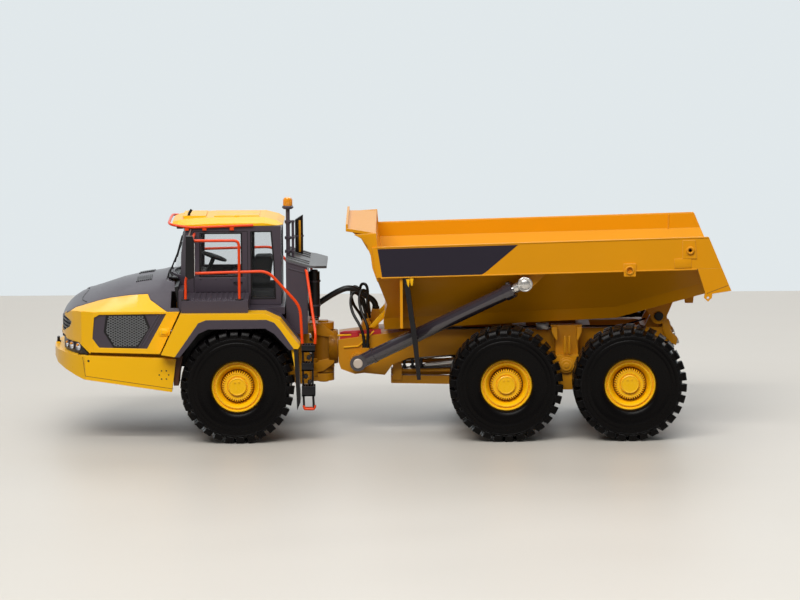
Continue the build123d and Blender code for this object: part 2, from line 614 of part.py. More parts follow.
HOOD_HINGE = (-64.3, 36.4)
HINGE_R = 0.7
HINGE_PIN_R = 0.35
HINGE_PLACES = (7.4, 8.2, 11.2, 12.0)  # |y| of the ear, knuckle, knuckle and ear of each hood hinge
LAMP_PLAN = [(-64.7, 0.0), (-64.3, 13.0), (-62.6, 21.0), (-59.6, 28.2), (-56.4, 33.4), (-54.2, HOOD_HALF - 0.6)]
LAMP_LOW, LAMP_TOP = 31.95, HOOD_HINGE[1] - 0.4
with BuildPart() as lamp_bar:
    slab(mirrored(LAMP_PLAN + [(-54.2, 32.0), (-58.6, 24.0), (-60.6, 0.0)]), LAMP_LOW, LAMP_TOP)
    # the outer ends slope down under the hood's corners
    prism([(-57.9, LAMP_TOP + 0.2), (-53.8, LAMP_TOP + 0.2), (-53.8, LAMP_LOW + 0.2)], -60, 60, Mode.SUBTRACT)
    ear_in, knuckle_in, knuckle_out, ear_out = HINGE_PLACES
    for side in (-1, 1):
        for near, far in ((ear_in, knuckle_in), (knuckle_out, ear_out)):
            disc(*HOOD_HINGE, HINGE_R, *side_range(side, near, far))
        low, high = side_range(side, knuckle_in, knuckle_out)
        disc(*HOOD_HINGE, HINGE_R + BODY_GAP, low, high, Mode.SUBTRACT)
        disc(*HOOD_HINGE, HINGE_PIN_R, low, high)
write(lamp_bar.part, "lamp_bar")

LAMP_Z = (LAMP_LOW + LAMP_TOP) / 2 + 0.5
LAMPS = [  # index of the lamp bar's facet in plan, how far along it, lens radius
    (3, 0.15, 1.0),
    (4, 0.1, 1.1),
    (4, 0.55, 1.1),
]
with BuildPart() as headlamps:
    for facet, along, radius in LAMPS:
        (s_near, y_near), (s_far, y_far) = LAMP_PLAN[facet - 1], LAMP_PLAN[facet]
        length = hypot(s_far - s_near, y_far - y_near)
        out_s, out_y = -(y_far - y_near) / length, (s_far - s_near) / length
        s, y = s_near + along * (s_far - s_near), y_near + along * (y_far - y_near)
        rod_between((s, y, LAMP_Z), (s + 0.6 * out_s, y + 0.6 * out_y, LAMP_Z), radius)
    both_sides()
write(headlamps.part, "headlamps")

# The hood's outside goes from a flat middle strip to a crease, a soft edge, the belt and straight down.
HOOD_MIDDLE = 4.0  # half width of the middle strip
HOOD_CROWN = 0.9  # rise from the crease to the middle strip
HOOD_LINES = [  # station, y and height of the crease, y and height of the edge, height of the belt
    (-67.0, 14.0, 38.5, 24.0, 38.4, 37.0),
    (-65.3, 14.5, 42.4, 24.0, 42.2, 40.6),
    (-64.2, 14.8, 44.6, 24.0, 44.2, 42.5),
    (-63.0, 15.0, 46.1, 24.0, 45.6, 43.9),
    (-61.2, 15.3, 47.8, 24.0, 47.1, 45.3),
    (-59.3, 15.6, 49.0, 24.0, 48.1, 46.3),
    (-56.1, 16.0, 50.4, 24.0, 49.3, 47.2),
    (-51.0, 15.6, 52.0, 23.8, 50.6, 47.8),
    (-43.6, 16.6, 54.3, 24.5, 52.2, 47.8),
    (-36.2, 17.0, 55.9, 26.0, 52.9, 47.8),
    (-28.9, 17.3, 56.9, 27.5, 53.5, 47.8),
    (-20.0, 17.9, 59.1, 28.0, 54.5, 47.8),
]
HOOD_PLAN = [(-66.0, 0.0), (-65.2, 12.0), (-63.2, 20.5), (-60.2, 28.0), (-56.6, 33.8), (-52.0, HOOD_HALF)]
HOOD_FRONT = [(-66.2, 80.0), (-66.0, 37.15), (-63.6, 37.15), (-62.8, 36.15), (-57.6, 36.15), (-53.4, 32.4),
              (-53.0, 33.0)]
HOOD_REAR = [(-28.1, 32.2), (-20.7, 47.8), (-22.4, 52.0), (-23.0, 56.5), (-26.2, 56.9), (-26.2, 80.0)]
HOOD_SPLIT = [(-62.8, 45.4), (-61.0, 46.9), (-59.0, 48.1), (-55.5, 49.2), (-51.0, 50.4), (-46.5, 51.5),
              (-39.0, 52.5), (-32.7, 53.0), (-31.5, 51.3), (-25.3, 47.7), (-10.0, 47.7), (-10.0, 80.0),
              (-62.8, 80.0)]
NOSE_SPLIT = 19.0  # half width of the dark middle of the nose


def hood_plan(inset):
    """Plan outline of the hood, drawn in by an inset."""
    return mirrored([(s + inset, max(y - inset, 0.0)) for s, y in HOOD_PLAN] + [(-18.0, HOOD_HALF - inset)])


def hood_form(inset):
    """Closed form of the hood, drawn in by a wall's thickness."""
    lines = {line[0]: line[1:] for line in HOOD_LINES}

    def hood_sections(station):
        crease_y, crease_top, edge_y, edge_top, belt_top = lines[station]
        side = HOOD_HALF - inset
        return [[(HOOD_MIDDLE, crease_top + HOOD_CROWN - inset), (crease_y, crease_top - inset),
                 (edge_y, edge_top - inset), (side, belt_top - inset), (side, 30.0)]]

    flat_sided(hood_sections, list(lines))
    slab(hood_plan(inset), 25, 80, Mode.INTERSECT)
    prism(HOOD_FRONT + HOOD_REAR, -60, 60, Mode.INTERSECT)


def face_on(half_outline, s_low, s_high, mode=Mode.ADD):
    """Outline of (y, height) pairs seen from the front, mirrored and extruded along the truck."""
    with BuildSketch(Plane.YZ.offset(sx(s_low))) as outline:
        with BuildLine():
            Polyline(*half_outline, *[(-y, z) for y, z in reversed(half_outline)], close=True)
        make_face()
    extrude(outline.sketch, amount=s_high - s_low, mode=mode)


with BuildPart() as engine_bay:
    hood_form(HOOD_WALL)
    # the bay is open below and behind
    slab([(-61.0, -33.4), (-22.0, -33.4), (-22.0, 33.4), (-61.0, 33.4)], 25, 44)
    slab(hood_plan(HOOD_WALL), 25, 80, Mode.INTERSECT)

with BuildPart() as hood_whole:
    hood_form(0.0)
    add(engine_bay.part, mode=Mode.SUBTRACT)
    prism([(-28.0, 31.0), (-19.0, 48.0), (-19.0, 54.0), (-24.0, 54.0), (-24.0, 48.0), (-31.0, 31.0)],
          -HOOD_HALF + HOOD_WALL, HOOD_HALF - HOOD_WALL, Mode.SUBTRACT)

with BuildPart() as dark_zone:
    prism(HOOD_SPLIT, -60, 60)
    block(-70.0, -61.5, -NOSE_SPLIT, NOSE_SPLIT, 43.0, 80.0)

GRILLE = [(-51.7, 45.7), (-49.9, 46.7), (-25.6, 46.9), (-32.7, 34.2), (-50.0, 34.7), (-52.4, 38.0)]
NOSE_GRILLE = [(17.0, 38.3), (25.0, 41.0), (27.0, 43.0), (21.0, 44.2)]
with BuildPart() as nose_window:
    face_on(NOSE_GRILLE, -70.0, -57.5)

with BuildPart() as hood_shell:
    add(hood_whole.part)
    add(dark_zone.part, mode=Mode.SUBTRACT)
    add(nose_window.part, mode=Mode.SUBTRACT)
    for side in (-1, 1):
        prism(GRILLE, *side_range(side, 30, 50), Mode.SUBTRACT)
        low, high = side_range(side, knuckle_in + 0.05, knuckle_out - 0.05)
        disc(*HOOD_HINGE, HINGE_R, low, high)
        block(HOOD_HINGE[0] - 0.5, HOOD_HINGE[0] + 0.6, low, high, HOOD_HINGE[1], 38.0)
        disc(*HOOD_HINGE, HINGE_PIN_R + RUNNING_GAP, low, high, Mode.SUBTRACT)
write(hood_shell.part, "hood_shell")

with BuildPart() as hood_top:
    add(hood_whole.part)
    add(dark_zone.part, mode=Mode.INTERSECT)
    add(nose_window.part, mode=Mode.SUBTRACT)
write(hood_top.part, "hood_top")

with BuildPart() as grille_hollow:
    hood_form(HOOD_WALL - 0.5)
with BuildPart() as front_grille:
    hood_form(0.3)
    add(nose_window.part, mode=Mode.INTERSECT)
    # the slots between the slats end at a back plate
    for slot in range(4):
        low = NOSE_GRILLE[0][1] + 0.7 + slot * 1.35
        with BuildPart(mode=Mode.PRIVATE) as gap:
            block(-70.0, -55.0, -40, 40, low, low + 0.7)
            add(grille_hollow.part, mode=Mode.SUBTRACT)
        add(gap.part, mode=Mode.SUBTRACT)
    add(engine_bay.part, mode=Mode.SUBTRACT)
write(front_grille.part, "front_grille")

GRILLE_PLATE = HOOD_HALF - 0.5  # outer face of the side grilles' frames
HEX = [(-46.6, 46.2), (-34.0, 46.2), (-32.2, 41.5), (-36.3, 35.2), (-44.3, 35.2), (-47.4, 40.5)]
HEX_BARS = 8
with BuildPart() as side_grilles:
    prism(GRILLE, GRILLE_PLATE - 0.9, GRILLE_PLATE)
    prism(HEX, GRILLE_PLATE - 0.6, GRILLE_PLATE + 1, Mode.SUBTRACT)
    with BuildPart(mode=Mode.PRIVATE) as bars:
        for bar in range(HEX_BARS):
            low = HEX[3][1] + 0.7 + bar * 1.35
            block(-50, -30, GRILLE_PLATE - 0.7, GRILLE_PLATE - 0.2, low, low + 0.5)
        prism(HEX, GRILLE_PLATE - 2, GRILLE_PLATE, Mode.INTERSECT)
    add(bars.part)
    # double rib behind the hexagon
    for shift in (0.0, 1.1):
        prism([(-28.9 + shift, 46.3), (-28.4 + shift, 46.3), (-35.2 + shift, 35.0), (-35.7 + shift, 35.0)],
              GRILLE_PLATE - 0.1, GRILLE_PLATE + 0.3)
    both_sides()
write(side_grilles.part, "side_grilles")

with BuildPart() as engine_block:
    block(-55.0, -27.0, -13.0, 13.0, 31.6, 47.5)
write(engine_block.part, "engine_block")

# ---- Fenders and platform -------------------------------------------------------------------------
FENDER_TOP = [(-27.4, 32.7), (-20.2, 47.5), (10.4, 47.5), (15.7, 45.0), (22.8, 35.7), (22.1, 34.6)]
LIP_TOP = [(20.6, 34.6), (15.7, 41.7), (13.6, 44.2), (10.8, 45.3), (-11.0, 45.3), (-13.8, 44.2), (-22.4, 31.9)]
LIP_LOW = [(-20.6, 31.9), (-13.8, 40.4), (-10.3, 42.0), (10.3, 42.2), (13.6, 40.2), (19.0, 34.2)]
with BuildPart() as fenders:
    prism(FENDER_TOP + LIP_TOP, -FENDER_HALF, -FENDER_INNER)
    both_sides()
write(fenders.part, "fenders")

with BuildPart() as fender_lips:
    prism(list(reversed(LIP_TOP)) + list(reversed(LIP_LOW)), -FENDER_HALF - 0.5, -FENDER_INNER - 8.0)
    both_sides()
write(fender_lips.part, "fender_lips")

DECK_HALF = FENDER_HALF - 2.5
TREAD_RIBS = 11
with BuildPart() as deck:
    slab(mirrored([(-21.5, FENDER_INNER - 0.1), (17.0, FENDER_INNER - 0.1)]), 45.0, 47.5)
    for side in (-1, 1):
        low, high = side_range(side, CAB_HALF + 0.2, DECK_HALF)
        prism([(-20.0, 47.5), (4.1, 47.5), (4.1, DECK_TOP), (-19.6, DECK_TOP)], low, high)
        # bulkhead between the hood and the cab
        block(-21.4, -19.4, *side_range(side, CAB_HALF + 0.3, HOOD_HALF - 2.0), 47.5, 55.0)
        # ribbed tread
        low, high = side_range(side, CAB_HALF + 1.5, DECK_HALF - 3.0)
        for rib in range(TREAD_RIBS):
            front = -18.4 + rib * 2.0
            block(front, front + 0.8, low, high, DECK_TOP - 0.1, DECK_TOP + 0.3)
write(deck.part, "deck")

# ---- Cab ------------------------------------------------------------------------------------------
DOOR_WINDOW = [(-13.8, 58.4), (0.9, 58.4), (0.9, 73.6), (-13.6, 73.6)]
QUARTER_WINDOW = [(4.9, 50.0), (13.2, 50.0), (12.7, 63.2), (11.8, 74.2), (4.9, 74.2)]
FRONT_WINDOW = (14.6, 58.4, 74.6)  # half width, sill and top
REAR_WINDOW = (13.0, 62.0, 74.0)
CAB_TOP = 76.4
CAB_REAR = 15.6
PILLAR_FRONT = -19.0
CAB_FRONT = [  # height and front edge of the cab, as (station, share of the half width) pairs
    (CAB_FLOOR, [(-22.4, 0.35), (-21.8, 0.7), (-19.6, 1.0)]),
    (57.8, [(-25.2, 0.2), (-24.4, 0.45), (-22.6, 0.75), (PILLAR_FRONT, 1.0)]),
    (CAB_TOP, [(-19.8, 0.35), (-19.6, 0.75), (PILLAR_FRONT, 1.0)]),
]


def cab_form(inset):
    """Closed form of the cab with its bulged front, drawn in by a wall's thickness."""
    half = CAB_HALF - inset
    corners = []
    for height, edge in CAB_FRONT:
        level = min(max(height, CAB_FLOOR + inset), CAB_TOP - inset)
        for side in (-1, 1):
            corners += [(sx(s + inset), side * share * half, level) for s, share in edge]
            corners.append((sx(CAB_REAR - inset), side * half, level))
    ConvexPolyhedron(corners)


def inset_outline(points, gap):
    """Outline drawn in towards its middle by about the gap."""
    mid_s = sum(s for s, _ in points) / len(points)
    mid_z = sum(z for _, z in points) / len(points)
    return [(s + gap * (1 if s < mid_s else -1), z + gap * (1 if z < mid_z else -1)) for s, z in points]


with BuildPart() as cab_hollow:
    cab_form(CAB_WALL)

with BuildPart() as cab_shell:
    cab_form(0.0)
    add(cab_hollow.part, mode=Mode.SUBTRACT)
    for window in (DOOR_WINDOW, QUARTER_WINDOW):
        prism(window, -60, 60, Mode.SUBTRACT)
    half, low, high = FRONT_WINDOW
    block(-30.0, -10.0, -half, half, low, high, Mode.SUBTRACT)
    half, low, high = REAR_WINDOW
    block(5.0, 20.0, -half, half, low, high, Mode.SUBTRACT)
write(cab_shell.part, "cab_shell")

PANE_IN = 0.2  # from the cab's outside to the panes
with BuildPart() as glass_hollow:
    cab_form(PANE_IN + GLASS)

with BuildPart() as windscreen:
    cab_form(PANE_IN)
    add(glass_hollow.part, mode=Mode.SUBTRACT)
    half, low, high = FRONT_WINDOW
    block(-30.0, -10.0, -half + PANE_GAP, half - PANE_GAP, low + PANE_GAP, high - PANE_GAP, Mode.INTERSECT)

with BuildPart() as cab_glass:
    add(windscreen.part)
    for side in (-1, 1):
        low, high = side_range(side, CAB_HALF - PANE_IN - GLASS, CAB_HALF - PANE_IN)
        for window in (DOOR_WINDOW, QUARTER_WINDOW):
            prism(inset_outline(window, PANE_GAP), low, high)
    half, low, high = REAR_WINDOW
    block(CAB_REAR - PANE_IN - GLASS, CAB_REAR - PANE_IN, -half + PANE_GAP, half - PANE_GAP,
          low + PANE_GAP, high - PANE_GAP)
write(cab_glass.part, "cab_glass")

ROOF_LOW = CAB_TOP + 0.1
ROOF_EDGE = 12.0  # half width of the roof's flat middle
ROOF_LINES = [  # station, height of the middle, half width, height of the underside
    (-24.2, 77.6, 12.0, 76.9),
    (-22.2, 78.2, 15.4, 76.8),
    (-18.6, 78.7, ROOF_HALF, ROOF_LOW),
    (-10.0, 79.1, ROOF_HALF, ROOF_LOW),
    (9.5, 79.2, ROOF_HALF, ROOF_LOW),
    (14.2, 78.0, 15.6, ROOF_LOW),
    (16.4, 76.7, 13.0, ROOF_LOW),
]
with BuildPart() as cab_roof:
    roof = {line[0]: line[1:] for line in ROOF_LINES}

    def roof_sections(station):
        middle, half, low = roof[station]
        return [[(min(ROOF_EDGE, half - 2.0), middle), (half, max(middle - 1.7, low + 0.1)), (half, low)]]

    flat_sided(roof_sections, list(roof))
    # raised panels
    for s_low, s_high in ((-20.0, -12.0), (-9.0, 7.5)):
        block(s_low, s_high, -9.0, 9.0, 78.5, 79.5)
write(cab_roof.part, "cab_roof")

ROOF_RAIL_R = 0.45
with BuildPart() as roof_rail:
    outside = ROOF_HALF + 0.9
    half_route = [(5.6, outside, 76.8), (-17.5, outside, 76.1), (-23.8, outside, 77.1), (-25.0, ROOF_HALF - 4, 77.4)]
    pipe(half_route + [(s, -y, z) for s, y, z in reversed(half_route)], ROOF_RAIL_R, 1.2)
    for side in (-1, 1):
        for station in (-13.0, -3.0, 4.6):
            block(station, station + 0.8, *side_range(side, ROOF_HALF, outside), 76.55, 77.0)
write(roof_rail.part, "roof_rail")

with BuildPart() as cab_interior:
    # seat with its pedestal, the dash and the steering column with its wheel
    FLOOR_TOP = CAB_FLOOR + CAB_WALL
    block(-2.0, 13.0, -3.5, 3.5, FLOOR_TOP, 54.0)
    block(4.0, 13.0, -13.0, 13.0, FLOOR_TOP, 52.0)
    prism([(-4.5, 54.0), (11.0, 54.0), (12.2, 62.2), (11.4, 63.4), (5.8, 63.4), (4.6, 57.2), (-4.5, 56.8)],
          -5.5, 5.5)
    prism([(-20.2, FLOOR_TOP), (-13.0, FLOOR_TOP), (-11.0, 57.6), (-14.0, 58.4), (-19.6, 57.4)], -10.0, 10.0)
    rod_between((-12.2, 0, 57.0), (-9.6, 0, 63.4), 0.8)
    rod_between((-9.6, 0, 63.0), (-9.35, 0, 63.7), 4.6)
write(cab_interior.part, "cab_interior")

# ---- Rails, mirrors and steps ---------------------------------------------------------------------
RAIL_R = 0.5
RAIL_Y = DECK_HALF - 2.0
STEP_OUT = FENDER_HALF - 0.5  # outer and inner sides of the ladders
STEP_IN = STEP_OUT - 6.0
RAIL_FOOT = DECK_TOP + 0.02
with BuildPart() as handrails:
    # rail from the cab's pillar out and down to the deck
    pipe([(-16.0, -CAB_HALF - 0.05, 73.6), (-16.0, -RAIL_Y, 73.6), (1.0, -RAIL_Y, 73.6),
          (1.0, -RAIL_Y, RAIL_FOOT)], RAIL_R, 1.4)
    # long rail from the deck's front down over the ladder
    pipe([(-18.8, -RAIL_Y, RAIL_FOOT), (-18.6, -RAIL_Y, 61.8), (11.2, -RAIL_Y, 62.4), (22.6, -RAIL_Y, 49.4),
          (23.2, -RAIL_Y, 36.2)], RAIL_R, 2.0)
    # grab rail from the cabinet's side down to the ladder
    pipe([(24.4, -CABINET_HALF - 0.02, 60.4), (24.4, -CABINET_HALF - 2.5, 60.4), (28.3, -STEP_IN - 0.8, 39.0),
          (28.0, -STEP_IN - 0.8, 35.82)], RAIL_R, 1.2)
    both_sides()
write(handrails.part, "handrails")

with BuildPart() as mirrors:
    # tall mirrors outside the rails, each on a short bracket
    block(-18.2, -15.4, -RAIL_Y - 3.0, -RAIL_Y - 1.0, 60.4, 75.4)
    block(-16.5, -15.5, -RAIL_Y - 1.0, -RAIL_Y - RAIL_R - 0.02, 72.6, 74.4)
    block(-18.2, -17.4, -RAIL_Y - 1.0, -RAIL_Y - RAIL_R - 0.02, 60.8, 62.6)
    both_sides()
write(mirrors.part, "mirrors")

with BuildPart() as steps:
    for station in (23.4, 28.2):
        block(station - 0.4, station + 0.4, -STEP_OUT, -STEP_IN, 17.4, 35.8)
    for low, high in ((34.6, 35.8), (30.6, 31.6), (26.2, 27.4), (17.4, 21.0)):
        block(23.0, 28.6, -STEP_OUT, -STEP_IN, low, high)
    for station in (24.2, 28.2):
        block(station - 0.3, station + 0.3, -STEP_OUT + 1, -STEP_IN - 1, 12.6, 17.6)
    block(23.9, 28.5, -STEP_OUT + 1, -STEP_IN - 1, 11.4, 12.8)
    both_sides()
write(steps.part, "steps")

with BuildPart() as mudflaps:
    prism([(20.6, 34.1), (22.0, 34.3), (22.8, 15.0), (21.6, 12.1)], -FENDER_HALF + 0.5,
          -FENDER_HALF + 13.5)
    both_sides()
write(mudflaps.part, "mudflaps")

# ---- Behind the cab -------------------------------------------------------------------------------
LID_T = 0.9
LID_TOP = [(17.3, 64.9), (26.2, 62.2), (32.2, 61.4)]


def lid_top(station):
    """Height of the lid's upper face over the cabinet."""
    return line_at(station, LID_TOP[0], LID_TOP[1])


with BuildPart() as rear_cabinet:
    prism([(17.4, 42.0), (25.2, 42.0), (25.2, lid_top(25.2) - LID_T), (17.4, lid_top(17.4) - LID_T)],
          -CABINET_HALF, CABINET_HALF)
    for side in (-1, 1):
        block(17.4, 25.2, *side_range(side, CHASSIS_HALF + 0.2, CABINET_HALF), 37.0, 42.0)
write(rear_cabinet.part, "rear_cabinet")

with BuildPart() as cabinet_lid:
    prism(LID_TOP + [(s, z - LID_T) for s, z in reversed(LID_TOP)], -CABINET_HALF, CABINET_HALF)
    # the overhanging end is narrower
    for side in (-1, 1):
        slab([(27.0, side * 21), (33.0, side * 21), (33.0, side * 14)], 55, 70, Mode.SUBTRACT)
write(cabinet_lid.part, "cabinet_lid")

with BuildPart() as canister:
    post(27.5, -10.0, 2.1, 42.3, 58.7)
    block(25.3, 27.5, -11.0, -9.0, 45.0, 47.0)
    block(25.3, 27.5, -11.0, -9.0, 54.0, 56.0)
write(canister.part, "canister")

STACK = (21.8, 5.0)
STACK_R = 1.5
with BuildPart() as exhaust_stack:
    post(*STACK, STACK_R, 60.0, 78.4)
    prism([(15, 79), (20.3, 76.3), (23.3, 78.2), (25, 80)], 0, 10, Mode.SUBTRACT)
    prism([(15, 50), (15, lid_top(15) + 0.02), (28, lid_top(28) + 0.02), (28, 50)], 0, 10, Mode.SUBTRACT)
write(exhaust_stack.part, "exhaust_stack")

MAST = (18.1, -12.0)
MAST_R = 0.75
with BuildPart() as beacon_mast:
    post(*MAST, MAST_R, lid_top(MAST[0] - MAST_R) + 0.02, 83.0)
    post(*MAST, 1.7, 82.2, 83.4)
    post(MAST[0] + 1.8, MAST[1], 0.5, lid_top(MAST[0] + 1.3) + 0.02, 77.3)
    for height in (66.0, 71.2, 77.2):
        block(MAST[0] - 1.2, MAST[0] + 2.5, MAST[1] - 0.7, MAST[1] + 0.7, height, height + 0.8)
write(beacon_mast.part, "beacon_mast")

with BuildPart() as beacon_lens:
    post(*MAST, 1.65, 83.4, 86.5)
    chamfer(beacon_lens.edges().group_by(Axis.Z)[-1], 0.4)
write(beacon_lens.part, "beacon_lens")

# ---- Hoses ----------------------------------------------------------------------------------------
HEAT_HOSE_R = 1.1
with BuildPart() as heat_hose_front:
    pipe([(25.25, 0, 44.8), (28.6, 0, 44.8), (36.2, 0, 50.2), (39.8, 0, 50.2)], HEAT_HOSE_R, 5.0, sides=12)
write(heat_hose_front.part, "heat_hose_front")
with BuildPart() as heat_hose_rear:
    pipe([(39.8, 0, 50.2), (43.4, 0, 50.2), (49.8, 0, 47.0), (49.8, 0, HEAT_SEAT + 0.02)],
         HEAT_HOSE_R, 2.6, sides=12)
write(heat_hose_rear.part, "heat_hose_rear")

with BuildPart() as lift_hoses:
    for y, port in ((-7.8, 45.8), (-5.4, 47.0)):
        pipe([(46.6, y, LIFT_SEAT + 0.02), (46.6, y, 46.2), (44.8, y - 1, 50.2), (42.0, y - 3, 46.8),
              (port, -FRAME_HALF - 1.5, 37.0), (port, -FRAME_HALF - 1.5, PORT_TOP + 0.02)], 0.5, 1.5)
    both_sides()
write(lift_hoses.part, "lift_hoses")
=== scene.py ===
"""The looks of the 1:50 articulated dump truck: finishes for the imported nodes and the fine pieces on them.

Lengths are in millimetres and along the truck they are stations, counted rearwards from the front axle.
They become metres in the truck's frame as they reach Blender.
"""

import json
from math import cos, pi, radians, sin, sqrt

import bmesh
import bpy
from mathutils import Matrix, Vector


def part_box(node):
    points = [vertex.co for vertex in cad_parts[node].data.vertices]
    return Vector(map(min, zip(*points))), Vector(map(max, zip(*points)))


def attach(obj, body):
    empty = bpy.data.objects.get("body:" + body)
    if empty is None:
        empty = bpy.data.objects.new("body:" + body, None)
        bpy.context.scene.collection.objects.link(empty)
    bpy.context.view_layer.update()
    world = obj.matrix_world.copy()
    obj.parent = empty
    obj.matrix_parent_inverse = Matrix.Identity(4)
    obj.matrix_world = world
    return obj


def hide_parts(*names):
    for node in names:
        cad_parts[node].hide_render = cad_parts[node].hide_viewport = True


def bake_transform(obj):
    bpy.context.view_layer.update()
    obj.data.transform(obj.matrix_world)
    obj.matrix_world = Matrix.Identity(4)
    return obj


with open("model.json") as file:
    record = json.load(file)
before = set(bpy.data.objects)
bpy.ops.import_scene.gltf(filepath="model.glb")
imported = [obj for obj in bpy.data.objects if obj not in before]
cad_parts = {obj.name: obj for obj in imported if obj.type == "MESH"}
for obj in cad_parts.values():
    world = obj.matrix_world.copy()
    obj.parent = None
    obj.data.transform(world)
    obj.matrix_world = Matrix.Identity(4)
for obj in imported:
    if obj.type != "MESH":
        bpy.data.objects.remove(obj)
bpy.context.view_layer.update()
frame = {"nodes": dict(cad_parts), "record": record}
NODES = frame["nodes"]
MM = 0.001
FRONT_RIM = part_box("rim_front_left")
FRONT_AXLE = (FRONT_RIM[0].x + FRONT_RIM[1].x) / 2 / MM
LEFT, RIGHT = -1, 1
UP, OUTWARDS = (0, 0, 1), (0, -1, 0)  # outwards on the left side
FRONT, REAR, BODY = "front_unit", "rear_frame", "dump_body"  # bodies that carry most pieces
BLACK, DARK = "black_plastic", "dark_plastic"  # slots that most pieces take


def at(station, y, height):
    """Point of the frame at a station, millimetres to the truck's right and a height."""
    return Vector(((FRONT_AXLE + station) * MM, y * MM, height * MM))


def node_mm(name):
    """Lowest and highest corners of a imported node, in millimetres."""
    low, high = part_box(name)
    return low / MM, high / MM


def middle_of(name):
    """Station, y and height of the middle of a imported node's box."""
    low, high = node_mm(name)
    return (low.x + high.x) / 2 - FRONT_AXLE, (low.y + high.y) / 2, (low.z + high.z) / 2


def add_object(name, data):
    """New object in the scene."""
    made = bpy.data.objects.new(name, data)
    bpy.context.scene.collection.objects.link(made)
    return made


# ---- Camera, lights and floor ----
def place_camera():
    """Long lens at a small downward pitch, level with the truck's left side."""
    data = bpy.data.cameras.new("camera")
    data.sensor_width = 36
    data.lens = 199.8
    camera = add_object("camera", data)
    downward, roll = 7.4, -0.36
    camera.matrix_world = (Matrix.Translation((0.0040, -1.6285,
        0.2582)) @ Matrix.Rotation(radians(90 - downward), 4, "X") @ Matrix.Rotation(radians(roll), 4, "Z"))
    bpy.context.scene.camera = camera


def area_light(name, place, aim, size, watts, tint=(1, 1, 1)):
    """Soft oblong lamp that faces a point."""
    data = bpy.data.lights.new(name, "AREA")
    data.shape = "RECTANGLE"
    data.size, data.size_y = size
    data.energy = watts
    data.color = tint
    lamp = add_object(name, data)
    lamp.location = place
    lamp.rotation_euler = (Vector(aim) - Vector(place)).to_track_quat("-Z", "Y").to_euler()


def fill(tree, node, values):
    """Set a node's inputs by name to numbers and colours, or link them to other nodes' sockets."""
    for name, value in values.items():
        if isinstance(value, bpy.types.NodeSocket):
            tree.links.new(value, node.inputs[name])
        else:
            node.inputs[name].default_value = (*value, 1) if isinstance(value, tuple) else value


def add_node(tree, kind, values, **settings):
    """New shader node with its settings and its filled inputs."""
    node = tree.nodes.new("ShaderNode" + kind)
    for name, value in settings.items():
        setattr(node, name, value)
    fill(tree, node, values)
    return node


def blend(tree, factor, low, high):
    """Colour between two others, which may be sockets."""
    return add_node(tree, "Mix", {"Factor": factor, "A": low, "B": high}, data_type="RGBA").outputs["Result"]


def light_studio():
    """Overhead, front and rear softboxes in a dim room with a pale wall behind the table."""
    warm, cool = (1, 0.98, 0.95), (0.97, 0.98, 1)
    area_light("softbox_top", (0.05, 0.05, 1.25), (0, 0, 0.03), (1.5, 1), 4.5, warm)
    area_light("softbox_front", (-0.35, -1.15, 1.2), (0, 0, 0.04), (1.2, 0.7), 18, warm)
    area_light("softbox_strip", (0, -0.75, 1.05), (0, 0, 0.05), (1.5, 0.06), 5)
    area_light("softbox_rear", (0.3, 1.3, 1.1), (0, 0, 0.05), (1.3, 0.7), 7, cool)
    world = bpy.data.worlds.new("room")
    world.use_nodes = True
    tree = world.node_tree
    shine = tree.nodes["Background"]
    aim = add_node(tree, "SeparateXYZ", {"Vector": add_node(tree, "TexCoord", {}).outputs["Generated"]})
    depth = add_node(tree, "MapRange", {"From Min": -0.35, "From Max": 0.55, "Value": aim.outputs["Y"]})
    rays = add_node(tree, "LightPath", {}).outputs
    wall, dim_wall, dim_room = (0.755, 0.808, 0.83), (0.27, 0.275, 0.28), (0.13, 0.135, 0.14)
    mirrored = blend(tree, depth.outputs["Result"], dim_room, wall)
    color = blend(tree, rays["Is Glossy Ray"], dim_wall, mirrored)
    color = blend(tree, rays["Is Transmission Ray"], color, wall)
    color = blend(tree, rays["Is Camera Ray"], color, wall)
    fill(tree, shine, {"Strength": 1, "Color": color})
    bpy.context.scene.world = world
    bpy.context.scene.view_settings.view_transform = "Standard"


